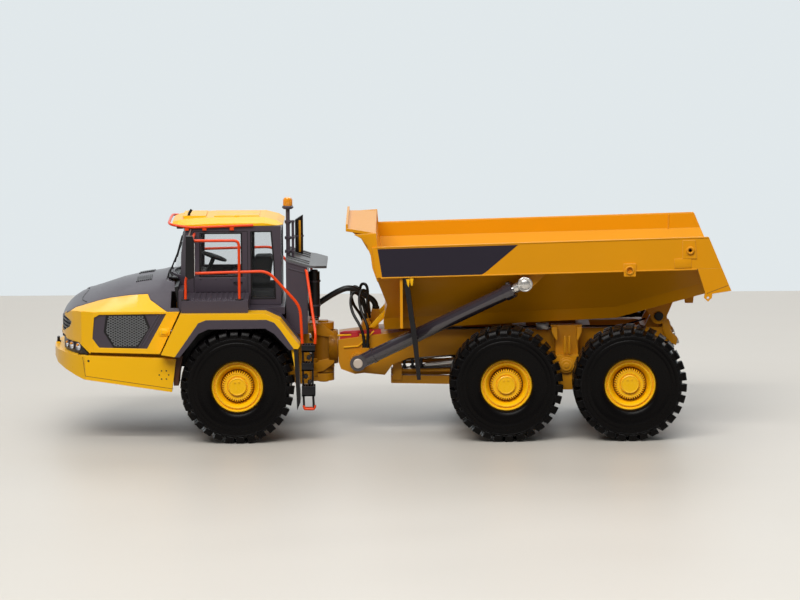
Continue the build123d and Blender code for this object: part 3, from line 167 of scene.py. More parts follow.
# ---- Finishes ----
def finish(name, color, roughness, metallic=0, coat=0, vary=0.05, grain=900, bump=0.02,
           edge=0, edge_color=(1, 1, 1), rounding=0.12, alpha=1, specular=0.5):
    """Procedural finish: uneven colour, uneven gloss, fine grain and softened edges painted lighter, partly
    as wear and partly as painted highlight.
    """
    material = bpy.data.materials.new(name)
    material.use_nodes = True
    tree = material.node_tree
    shader = tree.nodes["Principled BSDF"]
    place = add_node(tree, "TexCoord", {}).outputs["Object"]
    cloud = add_node(tree, "TexNoise", {"Scale": 60, "Detail": 3, "Vector": place})
    speck = add_node(tree, "TexNoise", {"Scale": grain, "Detail": 2, "Vector": place}).outputs["Fac"]
    tone = blend(tree, cloud.outputs["Fac"], tuple(c * (1 - vary) for c in color),
        tuple(min(c * (1 + vary), 1) for c in color))
    gloss = add_node(tree, "MapRange", {"To Min": roughness * 0.88, "To Max": min(roughness * 1.15, 1),
        "Value": speck})
    soft = add_node(tree, "Bevel", {"Radius": rounding * MM}, samples=4).outputs["Normal"]
    ripple = add_node(tree, "Bump", {"Strength": bump, "Distance": 0.1 * MM, "Height": speck, "Normal": soft})
    # edges painted lighter in edge_color: partly wear, partly a painted highlight on rounded edges that catch
    # the light
    if edge > 0:
        flat = add_node(tree, "NewGeometry", {}).outputs["Normal"]
        turn = add_node(tree, "VectorMath", {}, operation="DOT_PRODUCT")
        tree.links.new(flat, turn.inputs[0])
        tree.links.new(soft, turn.inputs[1])
        wear_and_highlight = add_node(tree, "MapRange",
            {"From Min": 0.995, "From Max": 0.90, "To Max": edge, "Value": turn.outputs["Value"]})
        tone = blend(tree, wear_and_highlight.outputs["Result"], tone, edge_color)
    fill(tree, shader, {"Metallic": metallic, "Coat Weight": coat, "Coat Roughness": 0.06,
        "Specular IOR Level": specular, "Alpha": alpha, "Roughness": gloss.outputs["Result"],
        "Normal": ripple.outputs["Normal"], "Base Color": tone})
    return material


YELLOW = (0.95, 0.50, 0.005)
FINISHES = {  # by packed slot
    "body_yellow": finish(
        "yellow_gloss", YELLOW, 0.29, coat=0.06, specular=0.2, vary=0.03, bump=0.008, edge=0.35,
        edge_color=(1, 0.8, 0.35)),
    "dump_yellow": finish(
        "yellow_body", (0.76, 0.31, 0.003), 0.33, coat=0.05, specular=0.18, vary=0.04, bump=0.01, edge=0.3,
        edge_color=(1, 0.72, 0.25), rounding=0.2),
    "frame_yellow": finish(
        "yellow_frame", (0.60, 0.25, 0.003), 0.42, coat=0.05, specular=0.3, vary=0.06, edge=0.25,
        edge_color=(1, 0.7, 0.25)),
    "rim_yellow": finish(
        "yellow_rim", (0.97, 0.52, 0.004), 0.27, coat=0.06, specular=0.25, vary=0.03, edge=0.3,
        edge_color=(1, 0.82, 0.4), rounding=0.08),
    "dark_plastic": finish(
        "plum_grey", (0.060, 0.047, 0.062), 0.34, coat=0.05, specular=0.4, vary=0.06, bump=0.05, edge=0.3,
        edge_color=(0.3, 0.28, 0.32)),
    "black_plastic": finish(
        "black_plastic", (0.010, 0.009, 0.010), 0.36, specular=0.3, vary=0.1, bump=0.05, edge=0.25,
        edge_color=(0.12, 0.12, 0.13)),
    "tyre": finish(
        "rubber", (0.003, 0.0025, 0.0025), 0.28, specular=0.1, vary=0.15, grain=2200, bump=0.06, edge=0.3,
        edge_color=(0.10, 0.10, 0.105)),
    "glass": finish(
        "clear_glass", (0.03, 0.036, 0.036), 0.03, vary=0.02, bump=0, alpha=0.09, rounding=0.02),
    "rail_orange": finish("rail_orange", (0.84, 0.060, 0.004), 0.3, coat=0.05, specular=0.3, rounding=0.05),
    "red_paint": finish("red_paint", (0.48, 0.012, 0.02), 0.35, coat=0.2, rounding=0.05),
    "barrel_dark": finish("barrel_dark", (0.036, 0.028, 0.036), 0.13, coat=0.9, vary=0.06, rounding=0.05),
    "chrome": finish("chrome", (0.78, 0.78, 0.80), 0.16, metallic=1, vary=0.04, rounding=0.05),
    "amber": finish("amber_lens", (0.85, 0.30, 0.005), 0.12, coat=0.5, rounding=0.05),
    "lamp": finish("lamp_glass", (0.75, 0.77, 0.8), 0.12, coat=0.6, rounding=0.05),
    "grey_lid": finish(
        "grey_lid", (0.11, 0.113, 0.117), 0.4, specular=0.3, edge=0.3, edge_color=(0.5, 0.5, 0.5)),
    "hose": finish("hose_rubber", (0.008, 0.008, 0.008), 0.36, specular=0.35, vary=0.1, rounding=0.03),
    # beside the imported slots
    "mesh_grey": finish("mesh_grey", (0.23, 0.24, 0.25), 0.35, metallic=0.4, rounding=0.02),
    # painted shade: darkened yellow for lines in creases, where shade falls
    "crease_shade": finish("crease_shade", (0.30, 0.13, 0.004), 0.5, rounding=0.02),
    "hood_yellow": finish("yellow_hood", YELLOW, 0.25, coat=0.06, specular=0.25, vary=0.03, rounding=0.4),
    "hood_plum": finish(
        "plum_hood", (0.058, 0.046, 0.060), 0.32, coat=0.05, specular=0.4, vary=0.06, bump=0.04,
        rounding=0.4),
    "shade_gold": finish("shade_gold", (0.22, 0.085, 0.002), 0.45, specular=0.2, rounding=0.05),
    # painted shade: the frame's yellow darkened to brown for the hitch, which lies in shadow
    "frame_shade": finish(
        "frame_shade", (0.34, 0.135, 0.003), 0.42, specular=0.3, vary=0.1, edge=0.25,
        edge_color=(0.8, 0.5, 0.2)),
    "shade_brown": finish("shade_brown", (0.075, 0.022, 0.006), 0.5, rounding=0.1),
    "seat_cloth": finish(
        "seat_cloth", (0.020, 0.021, 0.024), 0.7, vary=0.2, grain=2600, bump=0.25, rounding=0.3),
    "steel": finish("steel", (0.50, 0.49, 0.47), 0.32, metallic=0.9, vary=0.12, rounding=0.05),
    "cast_steel": finish(
        "cast_steel", (0.72, 0.70, 0.67), 0.28, metallic=0.85, vary=0.15, bump=0.12, rounding=0.08),
    "pin_face": finish("pin_face", (0.66, 0.56, 0.47), 0.42, metallic=0.3, vary=0.08, rounding=0.05),
    "navy_stripe": finish("navy_stripe", (0.017, 0.013, 0.024), 0.4, specular=0.3, rounding=0.02),
}
NODE_LOOKS = {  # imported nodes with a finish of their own
    "hood_shell": "hood_yellow", "hood_top": "hood_plum", "steps": "black_plastic",
    # the hitch block is painted in the frame's yellow darkened to brown, for the shadow it lies in
    "cab_interior": "seat_cloth", "hitch_block": "frame_shade", "mud_guards": "black_plastic",
}


def dress_nodes():
    """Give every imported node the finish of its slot."""
    for part in frame["record"]["subparts"]:
        node = NODES[part["node"]]
        node.data.materials.clear()
        node.data.materials.append(FINISHES[NODE_LOOKS.get(part["node"], part["material_slot"])])


def smooth_copy(name, body, crease):
    """The node's own skin, shaded smooth except at edges sharper than the crease angle."""
    skin = NODES[name].data.copy()
    work = bmesh.new()
    work.from_mesh(skin)
    bmesh.ops.remove_doubles(work, verts=work.verts[:], dist=0.002 * MM)
    for edge in work.edges:
        edge.smooth = len(edge.link_faces) == 2 and edge.calc_face_angle(0) < radians(crease)
    for face in work.faces:
        face.smooth = True
    work.to_mesh(skin)
    work.free()
    if "custom_normal" in skin.attributes:
        skin.attributes.remove(skin.attributes["custom_normal"])
    made = add_object(f"{name}_skin", skin)
    made.matrix_world = NODES[name].matrix_world.copy()
    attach(made, body)
    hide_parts(name)


# ---- Building forms ----
def round_arms(across, other, count):
    """Evenly turned unit arms, from one direction towards another."""
    turns = [2 * pi * step / count for step in range(count)]
    return [across * cos(turn) + other * sin(turn) for turn in turns]


class Form:
    """A mesh built up in stations and millimetres, left side first."""

    def __init__(self):
        self.mesh = bmesh.new()

    def span(self, low_ring, high_ring):
        """Closed solid between two like rings of (station, y, height) points."""
        low, high = ([self.mesh.verts.new(at(*point)) for point in ring] for ring in (low_ring, high_ring))
        self.mesh.faces.new(list(reversed(low)))
        self.mesh.faces.new(high)
        for i in range(len(low)):
            j = (i + 1) % len(low)
            self.mesh.faces.new([low[i], low[j], high[j], high[i]])

    def side(self, outline, y_low, y_high):
        """Outline of (station, height) pairs, as thick as from y_low to y_high."""
        self.span([(s, y_low, z) for s, z in outline], [(s, y_high, z) for s, z in outline])

    def plan(self, outline, z_low, z_high):
        """Outline of (station, y) pairs, as high as from z_low to z_high."""
        self.span([(s, y, z_low) for s, y in outline], [(s, y, z_high) for s, y in outline])

    def box(self, s_low, s_high, y_low, y_high, z_low, z_high):
        """Box between two corners."""
        self.plan([(s_low, y_low), (s_high, y_low), (s_high, y_high), (s_low, y_high)], z_low, z_high)

    def strip(self, start, end, y, thick, high):
        """Thin raised line on a side face between two (station, height) points."""
        along = Vector((end[0] - start[0], end[1] - start[1])).normalized() * high / 2
        corners = [(start[0] + along.y, start[1] - along.x), (end[0] + along.y, end[1] - along.x),
            (end[0] - along.y, end[1] + along.x), (start[0] - along.y, start[1] + along.x)]
        self.side(corners, y - thick, y)

    def sheet(self, line, thick, y_low, y_high):
        """Thin plates along a line of (station, height) points."""
        for first, second in zip(line, line[1:]):
            rise = Vector((first[1] - second[1], second[0] - first[0])).normalized() * thick
            lifted = [(second[0] + rise.x, second[1] + rise.y), (first[0] + rise.x, first[1] + rise.y)]
            self.side([first, second] + lifted, y_low, y_high)

    def rings(self, rings, closed=False):
        """Skin through like rings of vertices, with its ends capped unless it closes on itself."""
        pairs = list(zip(rings, rings[1:]))
        if closed:
            pairs.append((rings[-1], rings[0]))
        for near, far in pairs:
            for i in range(len(near)):
                j = (i + 1) % len(near)
                self.mesh.faces.new([near[i], near[j], far[j], far[i]])
        if not closed:
            self.mesh.faces.new(list(reversed(rings[0])))
            self.mesh.faces.new(rings[-1])

    def ring(self, centre, arms, radius):
        """Vertices round a (station, y, height) centre."""
        return [self.mesh.verts.new(at(*(centre + arm * radius))) for arm in arms]

    def lathe(self, profile, foot, axis, steps=32, closed=False):
        """Turned form: profile of (distance along the axis, radius) from a (station, y, height) foot."""
        foot, axis = Vector(foot), Vector(axis).normalized()
        across = axis.orthogonal().normalized()
        arms = round_arms(across, axis.cross(across), steps)
        self.rings([self.ring(foot + axis * along, arms, max(radius, 0.01)) for along, radius in profile],
            closed)

    def tube(self, points, radius, bend=0, sides=12):
        """Round tube along (station, y, height) points with bent corners."""
        places = [Vector(point) for point in points]
        path = [places[0]]
        for before, corner, after in zip(places, places[1:], places[2:]):
            back, ahead = (before - corner).normalized(), (after - corner).normalized()
            reach = min(bend, (before - corner).length * 0.49, (after - corner).length * 0.49)
            for step in range(7):
                share = step / 6
                first = corner + back * reach * (1 - share)
                second = corner + ahead * reach * share
                path.append(first.lerp(second, share))
        path.append(places[-1])
        heading = (path[1] - path[0]).normalized()
        across = heading.orthogonal().normalized()
        rings = []
        for i, place in enumerate(path):
            ahead = (path[min(i + 1, len(path) - 1)] - path[max(i - 1, 0)]).normalized()
            across = (across - ahead * across.dot(ahead)).normalized()
            rings.append(self.ring(place, round_arms(across, ahead.cross(across), sides), radius))
        self.rings(rings)

    def pair(self, *args, **settings):
        """The form and its mirror image as one piece."""
        self.both_sides()
        return self.piece(*args, **settings)

    def both_sides(self):
        """Add the mirror image of everything so far."""
        copied = bmesh.ops.duplicate(self.mesh,
            geom=self.mesh.verts[:] + self.mesh.edges[:] + self.mesh.faces[:])
        for part in copied["geom"]:
            if isinstance(part, bmesh.types.BMVert):
                part.co.y = -part.co.y
        bmesh.ops.reverse_faces(self.mesh,
            faces=[p for p in copied["geom"] if isinstance(p, bmesh.types.BMFace)])

    def piece(self, name, body, slot, look=None, soften=0, segments=2, replaces=()):
        """Make the mesh a piece that rides on a body, with softened edges and its finish."""
        bmesh.ops.recalc_face_normals(self.mesh, faces=self.mesh.faces[:])
        if soften:
            edges = [edge for edge in self.mesh.edges if edge.is_manifold]
            sharp = [edge for edge in edges if edge.calc_face_angle() > radians(28)]
            bmesh.ops.bevel(self.mesh, geom=sharp, offset=soften * MM, segments=segments, profile=0.5,
                affect="EDGES", clamp_overlap=True)
        data = bpy.data.meshes.new(name)
        self.mesh.to_mesh(data)
        self.mesh.free()
        for face in data.polygons:
            face.use_smooth = True
        data.set_sharp_from_angle(angle=radians(34))
        data.materials.append(FINISHES[look or slot])
        made = add_object(name, data)
        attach(made, body)
        if replaces:
            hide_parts(*replaces)
        return made


# ---- Wheels ----
LUGS = 30
TYRE_PROFILE = [(7, 9.3), (7.9, 9.9), (8.25, 11), (8.42, 12.6), (8.5, 14.4), (8.64, 14.65), (8.5, 14.9),
    (8.45, 15.9), (8.58, 16.15), (8.4, 16.4), (8.3, 17.4), (8.45, 17.7), (8.15, 18), (7.6, 18.6), (6, 18.95),
    (0, 19.1)]
LUG_BLOCKS = [  # outline of a block across the tread as (distance from the wheel's middle, radius) pairs
    [(7.9, 18), (8.3, 18.25), (8.2, 19.2), (7.55, 20.3), (7, 20.6), (4.9, 20.6), (4.7, 18.7), (6.6, 18.5)],
    [(4.2, 18.7), (4.05, 20.6), (0.9, 20.6), (0.7, 18.8)],
]
LUG_SWEEP = 0.36  # degrees that the pattern runs round for each millimetre across
RIM_PROFILE = [(5, 9.3), (6, 9.3), (6.25, 9.1), (6.25, 8.75), (5.9, 8.55), (5.3, 8.4), (5.3, 8.15),
    (5.85, 7.95), (5.85, 7.6), (5.5, 7.2), (4.1, 6.55), (3.4, 6.3), (3, 6), (3, 5), (4.9, 4.9), (5.1, 4.75),
    (5.1, 3.8), (4.75, 3.7), (4.75, 3.45), (5.75, 3.3), (5.95, 3), (5.8, 2.8), (5.8, 0)]
RIM_BACK = [(-5.4, 0), (-5.4, 9), (-5.2, 9.3)]
HUB_RIBS, HUB_RIB = 40, [(2.9, 5.75), (4.4, 5.65), (5.3, 5.2), (5.3, 4.7), (2.9, 4.7)]


def wheel_place(axle, side):
    """Station, middle plane and height of a wheel, and which way is outwards."""
    station, _, height = middle_of(f"rim_{axle}_{side}")
    return station, middle_of(f"tyre_{axle}_{side}")[1], height, LEFT if side == "left" else RIGHT


def dress_tyre(axle, side):
    """Tyre with two rings on its wall and rows of swept blocks."""
    station, middle, height, out = wheel_place(axle, side)
    form = Form()
    inner = [(-across, radius) for across, radius in reversed(TYRE_PROFILE[:-1])]
    form.lathe(TYRE_PROFILE + inner, (station, middle, height), (0, out, 0), 96, closed=True)
    for lug in range(LUGS):
        for edge in (1, -1):
            for block in LUG_BLOCKS:
                ends = []
                for half in (-4.1, 4.1):
                    ring = []
                    for across, radius in block:
                        turn = radians(lug * 360 / LUGS + half + LUG_SWEEP * across * edge)
                        along, up = radius * sin(turn), radius * cos(turn)
                        ring.append((station + along, middle + out * edge * across, height - up))
                    ends.append(ring)
                form.span(*ends)
    form.piece(f"tyre_tread_{axle}_{side}", f"wheel_{axle}_{side}", "tyre", soften=0.12, segments=1,
        replaces=(f"tyre_{axle}_{side}",))


def dress_rim(axle, side):
    """Dished rim with a groove, a fluted hub ring and a raised cap."""
    station, middle, height, out = wheel_place(axle, side)
    foot, axis = (station, middle, height), (0, out, 0)
    form = Form()
    form.lathe(RIM_BACK + RIM_PROFILE, foot, axis, 72)
    for rib in range(HUB_RIBS):
        ends = []
        for lead in (-0.042, 0.042):
            turn = 2 * pi * rib / HUB_RIBS + lead
            ends.append([(station + radius * sin(turn), middle + out * across, height - radius * cos(turn))
                for across, radius in HUB_RIB])
        form.span(*ends)
    for turn in (-0.5, 0.35):
        spot = (station + 1.9 * sin(turn), middle, height + 1.9 * cos(turn))
        form.lathe([(5.9, 0.32), (6.1, 0.28), (6.12, 0)], spot, axis, 12)
    form.piece(f"rim_dish_{axle}_{side}", f"wheel_{axle}_{side}", "rim_yellow",
        replaces=(f"rim_{axle}_{side}",))
    # painted shade: dark gold ring at the bottom of the rim's valley, where shade falls
    valley_shade = Form()
    valley_shade.lathe([(2.9, 6.1), (3.25, 6.15), (3.1, 5.9), (3.1, 4.95), (2.9, 4.95)], foot, axis, 48, closed=True)
    valley_shade.piece(f"rim_valley_shade_{axle}_{side}", f"wheel_{axle}_{side}", "rim_yellow", look="shade_gold")


def dress_wheels():
    for axle in ("front", "middle", "rear"):
        for side in ("left", "right"):
            dress_tyre(axle, side)
            dress_rim(axle, side)


# ---- Hood, bumper and fenders ----
HEX = [(-46.6, 46.2), (-34, 46.2), (-32.2, 41.5), (-36.3, 35.2), (-44.3, 35.2), (-47.4, 40.5)]


def clip_line(outline, place, heading):
    """The stretch of a line inside a convex outline, or None."""
    low, high = -1e3, 1e3
    middle = Vector((sum(p[0] for p in outline), sum(p[1] for p in outline))) / len(outline)
    for first, second in zip(outline, outline[1:] + outline[:1]):
        edge = Vector(second) - Vector(first)
        normal = Vector((edge.y, -edge.x))
        if normal.dot(middle - Vector(first)) < 0:
            normal.negate()
        gap, rate = normal.dot(place - Vector(first)), normal.dot(heading)
        if abs(rate) < 1e-9:
            if gap < 0:
                return None
        elif rate > 0:
            low = max(low, -gap / rate)
        else:
            high = min(high, -gap / rate)
    return (place + heading * low, place + heading * high) if high - low > 0.3 else None


def weave_grilles():
    """Expanded metal in the hexagons of the side grilles."""
    face = node_mm("side_grilles")[0].y + 0.1
    form = Form()
    for slope in (29, -29):
        heading = Vector((cos(radians(slope)), sin(radians(slope))))
        across = Vector((-heading.y, heading.x))
        for row in range(-14, 15):
            found = clip_line(HEX, Vector((-39.8, 40.7)) + across * row * 0.82, heading)
            if found:
                form.strip(found[0], found[1], face, 0.15, 0.26)
    backing = Form()
    wider = [(-39.8 + (s + 39.8) * 1.12, 40.7 + (z - 40.7) * 1.1) for s, z in HEX]
    backing.side(wider, face + 0.04, face + 0.2)
    backing.pair("grille_backing", "hood", BLACK)
    form.pair("grille_weave", "hood", BLACK, look="mesh_grey")


def trim_hood():
    belt = node_mm("hood_shell")[0].y
    latch = Form()
    latch.side([(-28.2, 39), (-27, 38.7), (-24.6, 38.9), (-24.3, 39.9), (-24.5, 41.6), (-27.4, 41.7),
        (-28.3, 40.9)], belt - 0.25, belt + 0.3)
    latch.side([(-27.5, 39.6), (-25.4, 39.4), (-25, 40.4), (-25.2, 41.1), (-27.2, 41.2)], belt - 0.65, belt)
    latch.pair("hood_latches", "hood", "body_yellow", soften=0.15)

    seams = Form()
    for side in (LEFT, RIGHT):
        line = (-56, 3), (-56.9, 9), (-57.4, 14), (-57, 18), (-55.4, 22.6)
        seams.tube([on_top("hood_top", station, side * y, 0.05) for station, y in line], 0.2, 0, 8)
    seams.piece("hood_seams", "hood", BLACK)

    louvres = Form()
    for slot in range(8):
        front = -37.6 + slot * 0.74
        for side in (LEFT, RIGHT):
            rows = [on_top("hood_top", front, side * y, 0) for y in (5.2, 10, 14.6)]
            for start, end in zip(rows, rows[1:]):
                ring = [(s, y, z - 0.3) for s, y, z in (start, end)]
                ring += [(s, y, z + 0.42) for s, y, z in (end, start)]
                louvres.span(ring, [(s + 0.42, y, z) for s, y, z in ring])
    louvres.piece("hood_louvres", "hood", BLACK)

    baffle = Form()  # keeps anyone from looking right through the hood's rear end
    baffle.side([(-27.6, 44.5), (-22.9, 44.5), (-22.9, 54.5), (-26.4, 55.5), (-27.6, 55.5)], -16.2, -15.4)
    baffle.pair("hood_baffles", "hood", BLACK)


def on_top(name, station, y, lift):
    """Point a little above a node's upper skin."""
    node = NODES[name]
    turn = node.matrix_world.inverted()
    start = turn @ at(station, y, 200)
    heading = (turn @ at(station, y, 0) - start).normalized()
    found, place, _, _ = node.ray_cast(start, heading)
    height = (node.matrix_world @ place).z / MM if found else node_mm(name)[1].z
    return station, y, height + lift


LAMPS = [  # station, y, forward share of the axis, radius
    (-61.9, -22.5, 0.86, 1.15), (-60, -27, 0.78, 1.3), (-57.4, -31, 0.72, 1.35),
]


def trim_lamps():
    """Three round lamps in each end of the lamp bar."""
    middle = middle_of("headlamps")[2]
    bezel, bowl, bulb, signal = Form(), Form(), Form(), Form()
    for station, y, lean, radius in LAMPS:
        axis = (-lean, -sqrt(1 - lean * lean), 0)
        foot = Vector((station, y, middle)) + Vector(axis) * 0.6
        bezel.lathe([(-1.2, radius + 0.22), (0.25, radius + 0.22), (0.36, radius + 0.1), (0.2, radius - 0.05),
            (-1.2, radius - 0.05)], foot, axis, 28, closed=True)
        dish = [(0, radius), (0.2, radius), (0.1, radius * 0.7), (0, radius * 0.45), (0, 0)]
        bowl.lathe(dish, foot, axis, 28)
        bulb.lathe([(0, radius * 0.4), (0.3, radius * 0.38), (0.4, radius * 0.25), (0.42, 0)],
            foot + Vector((0.12, -0.1, -0.2)), axis, 16)
        signal.lathe([(0, radius * 0.34), (0.3, radius * 0.3), (0.35, 0)],
            foot + Vector((-0.3 * radius, 0.3 * radius, 0.42 * radius)), axis, 14)
    bezel.pair("lamp_bezels", FRONT, DARK, replaces=("headlamps",))
    bowl.pair("lamp_bowls", FRONT, "chrome")
    bulb.pair("lamp_bulbs", FRONT, "lamp")
    signal.pair("lamp_signals", FRONT, "amber")


def trim_bumper():
    side = node_mm("bumper")[0].y
    dark, lines = Form(), Form()
    for step in range(6):
        turn = radians(60 * step + 30)
        spot = (-26.63 + 1.72 * sin(turn), side, 24.74 + 1.72 * cos(turn))
        dark.lathe([(-0.2, 0.3), (0.06, 0.3), (0.1, 0.16), (0.1, 0)], spot, OUTWARDS, 6)
    dark.lathe([(-0.2, 0.42), (0.05, 0.42), (0.05, 0)], (-53.9, side, 30), OUTWARDS, 14)
    dark.pair("bumper_bolts", FRONT, BLACK)
    # painted shade: brown lines above the lip and down the front corner, where shade falls in the creases
    lines.strip((-55.1, 24.5), (-23.3, 19.6), side, 0.05, 0.2)
    lines.strip((-56, 31.5), (-55.1, 24.5), side, 0.05, 0.2)
    lines.pair("bumper_folds", FRONT, "frame_yellow", look="crease_shade")
    # coupling on the nose, clear of the hood's swing
    dark, seat = Form(), Form()
    dark.box(-67.9, -67, -1.4, 1.4, 32, 34)
    dark.side([(-68.3, 31.6), (-66.6, 31.9), (-66.6, 32.6), (-68.2, 32.2)], -0.7, 0.7)
    dark.piece("tow_coupling", FRONT, BLACK, soften=0.12)
    seat.box(-68.2, -66.8, -2.4, 2.4, 31.2, 32.2)
    seat.piece("tow_seat", FRONT, "body_yellow", soften=0.2)


FENDER_LINE = [(-19.9, 47.5), (10.4, 47.5), (15.7, 45), (22.8, 35.7)]
ARCH_LINE = [(-22.4, 31.9), (-13.8, 44.2), (-11, 45.3), (10.8, 45.3), (13.6, 44.2), (15.7, 41.7),
    (20.6, 34.6)]


def trim_fenders():
    """Dark inner part of the fenders' tops, black sheets as painted shade in the arches and the gap ahead of
    the cab.
    """
    low, _ = node_mm("fenders")
    skirt, shade_sheets, guard = Form(), Form(), Form()
    outer, inner = low.y + 9.8, low.y + 17.9
    skirt.sheet(FENDER_LINE, 0.12, outer, inner)
    skirt.pair("fender_skirts", FRONT, DARK)
    # painted shade: black sheets inside the wheel arch and in the gap ahead of the cab, where there is only
    # shade
    shade_sheets.side(ARCH_LINE + [(20.6, 26), (-22.4, 26)], low.y + 17.6, inner)
    shade_sheets.sheet(ARCH_LINE, -0.15, low.y + 9, inner)
    shade_sheets.side([(-21.8, 52.5), (-22.6, 56.3), (-21.2, 56.8), (-21.2, 47.6), (-21.6, 47.6)], -34.8, -16.9)
    shade_sheets.pair("arch_linings", FRONT, BLACK)
    # painted shade: the yellow panels behind the bumper in dark brown, for the shadow they lie in
    guard.side([(-23.2, 20.6), (-21.4, 20.6), (-21.1, 24), (-20.1, 29.5), (-19.6, 31.5), (-23.2, 31.5)],
        -36.4, -24.4)
    guard.pair("wheel_guards", FRONT, BLACK, look="shade_brown", soften=0.1)


# ---- Cab ----
def trim_cab():
    side = node_mm("cab_shell")[0].y
    rubber, panel, seam, handle, wiper, cowl, wheel, seat = (Form() for _ in range(8))

    door_window = [(-13.8, 58.4), (0.9, 58.4), (0.9, 73.6), (-13.6, 73.6)]
    rear_window = [(4.9, 50), (13.2, 50), (12.7, 63.2), (11.8, 74.2), (4.9, 74.2)]
    for outline, wide in ((door_window, 0.55), (rear_window, 0.5)):
        mid_s, mid_z = (sum(values) / len(outline) for values in zip(*outline))
        outer = [(s + (wide if s > mid_s else -wide), z + (wide if z > mid_z else -wide)) for s, z in outline]
        for i in range(len(outline)):
            j = (i + 1) % len(outline)
            rubber.side([outline[i], outline[j], outer[j], outer[i]], side - 0.1, side + 0.4)
    rubber.pair("window_rubbers", FRONT, BLACK, soften=0.06)

    # door skin with its handle, hinges and sill
    panel.side([(-15.6, 52.3), (2.6, 52.3), (2.6, 57.6), (-15.8, 57.6)], side - 0.25, side)
    panel.box(-15.4, 2.4, side - 0.7, side, 51, 51.9)
    for station in (-14.2, -8.6, -3):
        panel.box(station, station + 0.7, side - 0.55, side, 57, 57.5)
    panel.pair("door_skins", FRONT, DARK, soften=0.12)
    gap = [(-16.3, 49.2), (-16.3, 74.6), (3.4, 74.6), (3.4, 49.2)]
    for start, end in zip(gap, gap[1:]):
        seam.strip(start, end, side, 0.04, 0.22)
    seam.pair("door_gaps", FRONT, BLACK)
    grip = [(-1.6, side), (-1.6, side - 1), (1.2, side - 1), (1.2, side)]
    handle.tube([(s, y, 55.9) for s, y in grip], 0.28, 0.5, 8)
    handle.pair("door_handles", FRONT, BLACK)

    # wipers lean on the windscreen
    for y in (-11, 4.5):
        wiper.tube([(-24.3, y, 57.5), (-25.4, y + 0.6, 59), (-21.6, y + 2.6, 68)], 0.3, 0.8, 8)
        wiper.tube([(-23.5, y + 1.6, 62.5), (-20.9, y + 3.8, 72)], 0.26, 0, 8)
        wiper.tube([(-22.6, y + 1.9, 65.6), (-22.2, y + 2.8, 67)], 0.3, 0, 8)
    wiper.piece("wipers", FRONT, BLACK)
    cowl.plan([(-25.6, -14.6), (-22, -16.6), (-22, 16.6), (-25.6, 14.6), (-26.4, 0)], 57, 57.7)
    cowl.piece("cowl", FRONT, BLACK, soften=0.2)

    # steering wheel, and the seat with its armrests
    hub = Vector((-9.45, 0, 63.4))
    axis = Vector((0.36, 0, 1)).normalized()
    ring = [(0.34 * sin(radians(t)), 4.5 + 0.34 * cos(radians(t))) for t in range(0, 360, 45)]
    wheel.lathe(ring, hub, axis, 32, closed=True)
    wheel.lathe([(-0.5, 1.2), (0.3, 1.1), (0.5, 0.6), (0.5, 0)], hub, axis, 16)
    across = axis.orthogonal().normalized()
    other = axis.cross(across)
    for turn in (0.5, 2.6, 4.7):
        arm = across * cos(turn) + other * sin(turn)
        wheel.tube([hub, hub + arm * 4.4], 0.35, 0, 8)
    wheel.piece("steering_wheel", FRONT, BLACK)
    seat.side([(4.4, 57.4), (10.9, 55.6), (12.3, 62.6), (11.5, 63.8), (6.2, 63.7), (5.3, 62.8)], -5.8, 5.8)
    seat.side([(-4.8, 54.2), (4.8, 54), (5.2, 57), (-4.2, 57.2)], -5.8, 5.8)
    for arm_y in (-7.6, 6.2):
        seat.side([(-2.5, 58.4), (4, 58.6), (4, 59.6), (-2.5, 59.6)], arm_y, arm_y + 1.4)
    seat.piece("driver_seat", FRONT, BLACK, look="seat_cloth", soften=0.7, segments=3)


def trim_roof():
    top = node_mm("cab_roof")[1].z
    panels, knob, stub, rail, dark = (Form() for _ in range(5))
    for s_low, s_high, rise in ((-20.6, -12.4, 0), (-8.4, 7.2, 0.05)):
        for y_low, y_high in ((-8.6, -0.6), (0.6, 8.6)):
            panels.box(s_low, s_high, y_low, y_high, top - 0.7, top - 0.02 + rise)
    panels.piece("roof_panels", FRONT, "body_yellow", soften=0.3, segments=3)
    knob.lathe([(-0.6, 0.8), (0.5, 0.75), (0.75, 0.5), (0.8, 0)], (-1, -9.6, top - 0.5), UP, 18)
    knob.piece("roof_knob", FRONT, "body_yellow")
    stub.tube([(-18.4, -7.8, top - 0.7), (-18.2, -7.8, top + 0.8), (-17.3, -7.8, top + 2.2)], 0.5, 0.4, 10)
    stub.tube([(-18.4, -7.8, top - 0.7), (-18.2, -7.8, top)], 0.75, 0, 12)
    stub.piece("antenna_stub", FRONT, BLACK)
    outside = node_mm("roof_rail")[0].y + 0.45
    rail.tube([(5.6, outside, 76.8), (-17.5, outside, 76.1), (-24, outside, 77.1),
        (-25.4, outside + 3.6, 77.4), (-25.4, 0, 77.7)], 0.48, 1.6)
    for station in (-19.4, -13, -3):
        rail.box(station, station + 1.5, outside - 0.3, outside + 1.2, 75, 76.2)
    rail.pair("roof_rail_tube", FRONT, "rail_orange", soften=0.08, replaces=("roof_rail",))
    # lamps under the roof's front edge
    dark.box(-22.6, -20, -13.5, -10.5, 75.2, 76.7)
    dark.pair("roof_lamps", FRONT, BLACK, soften=0.25)


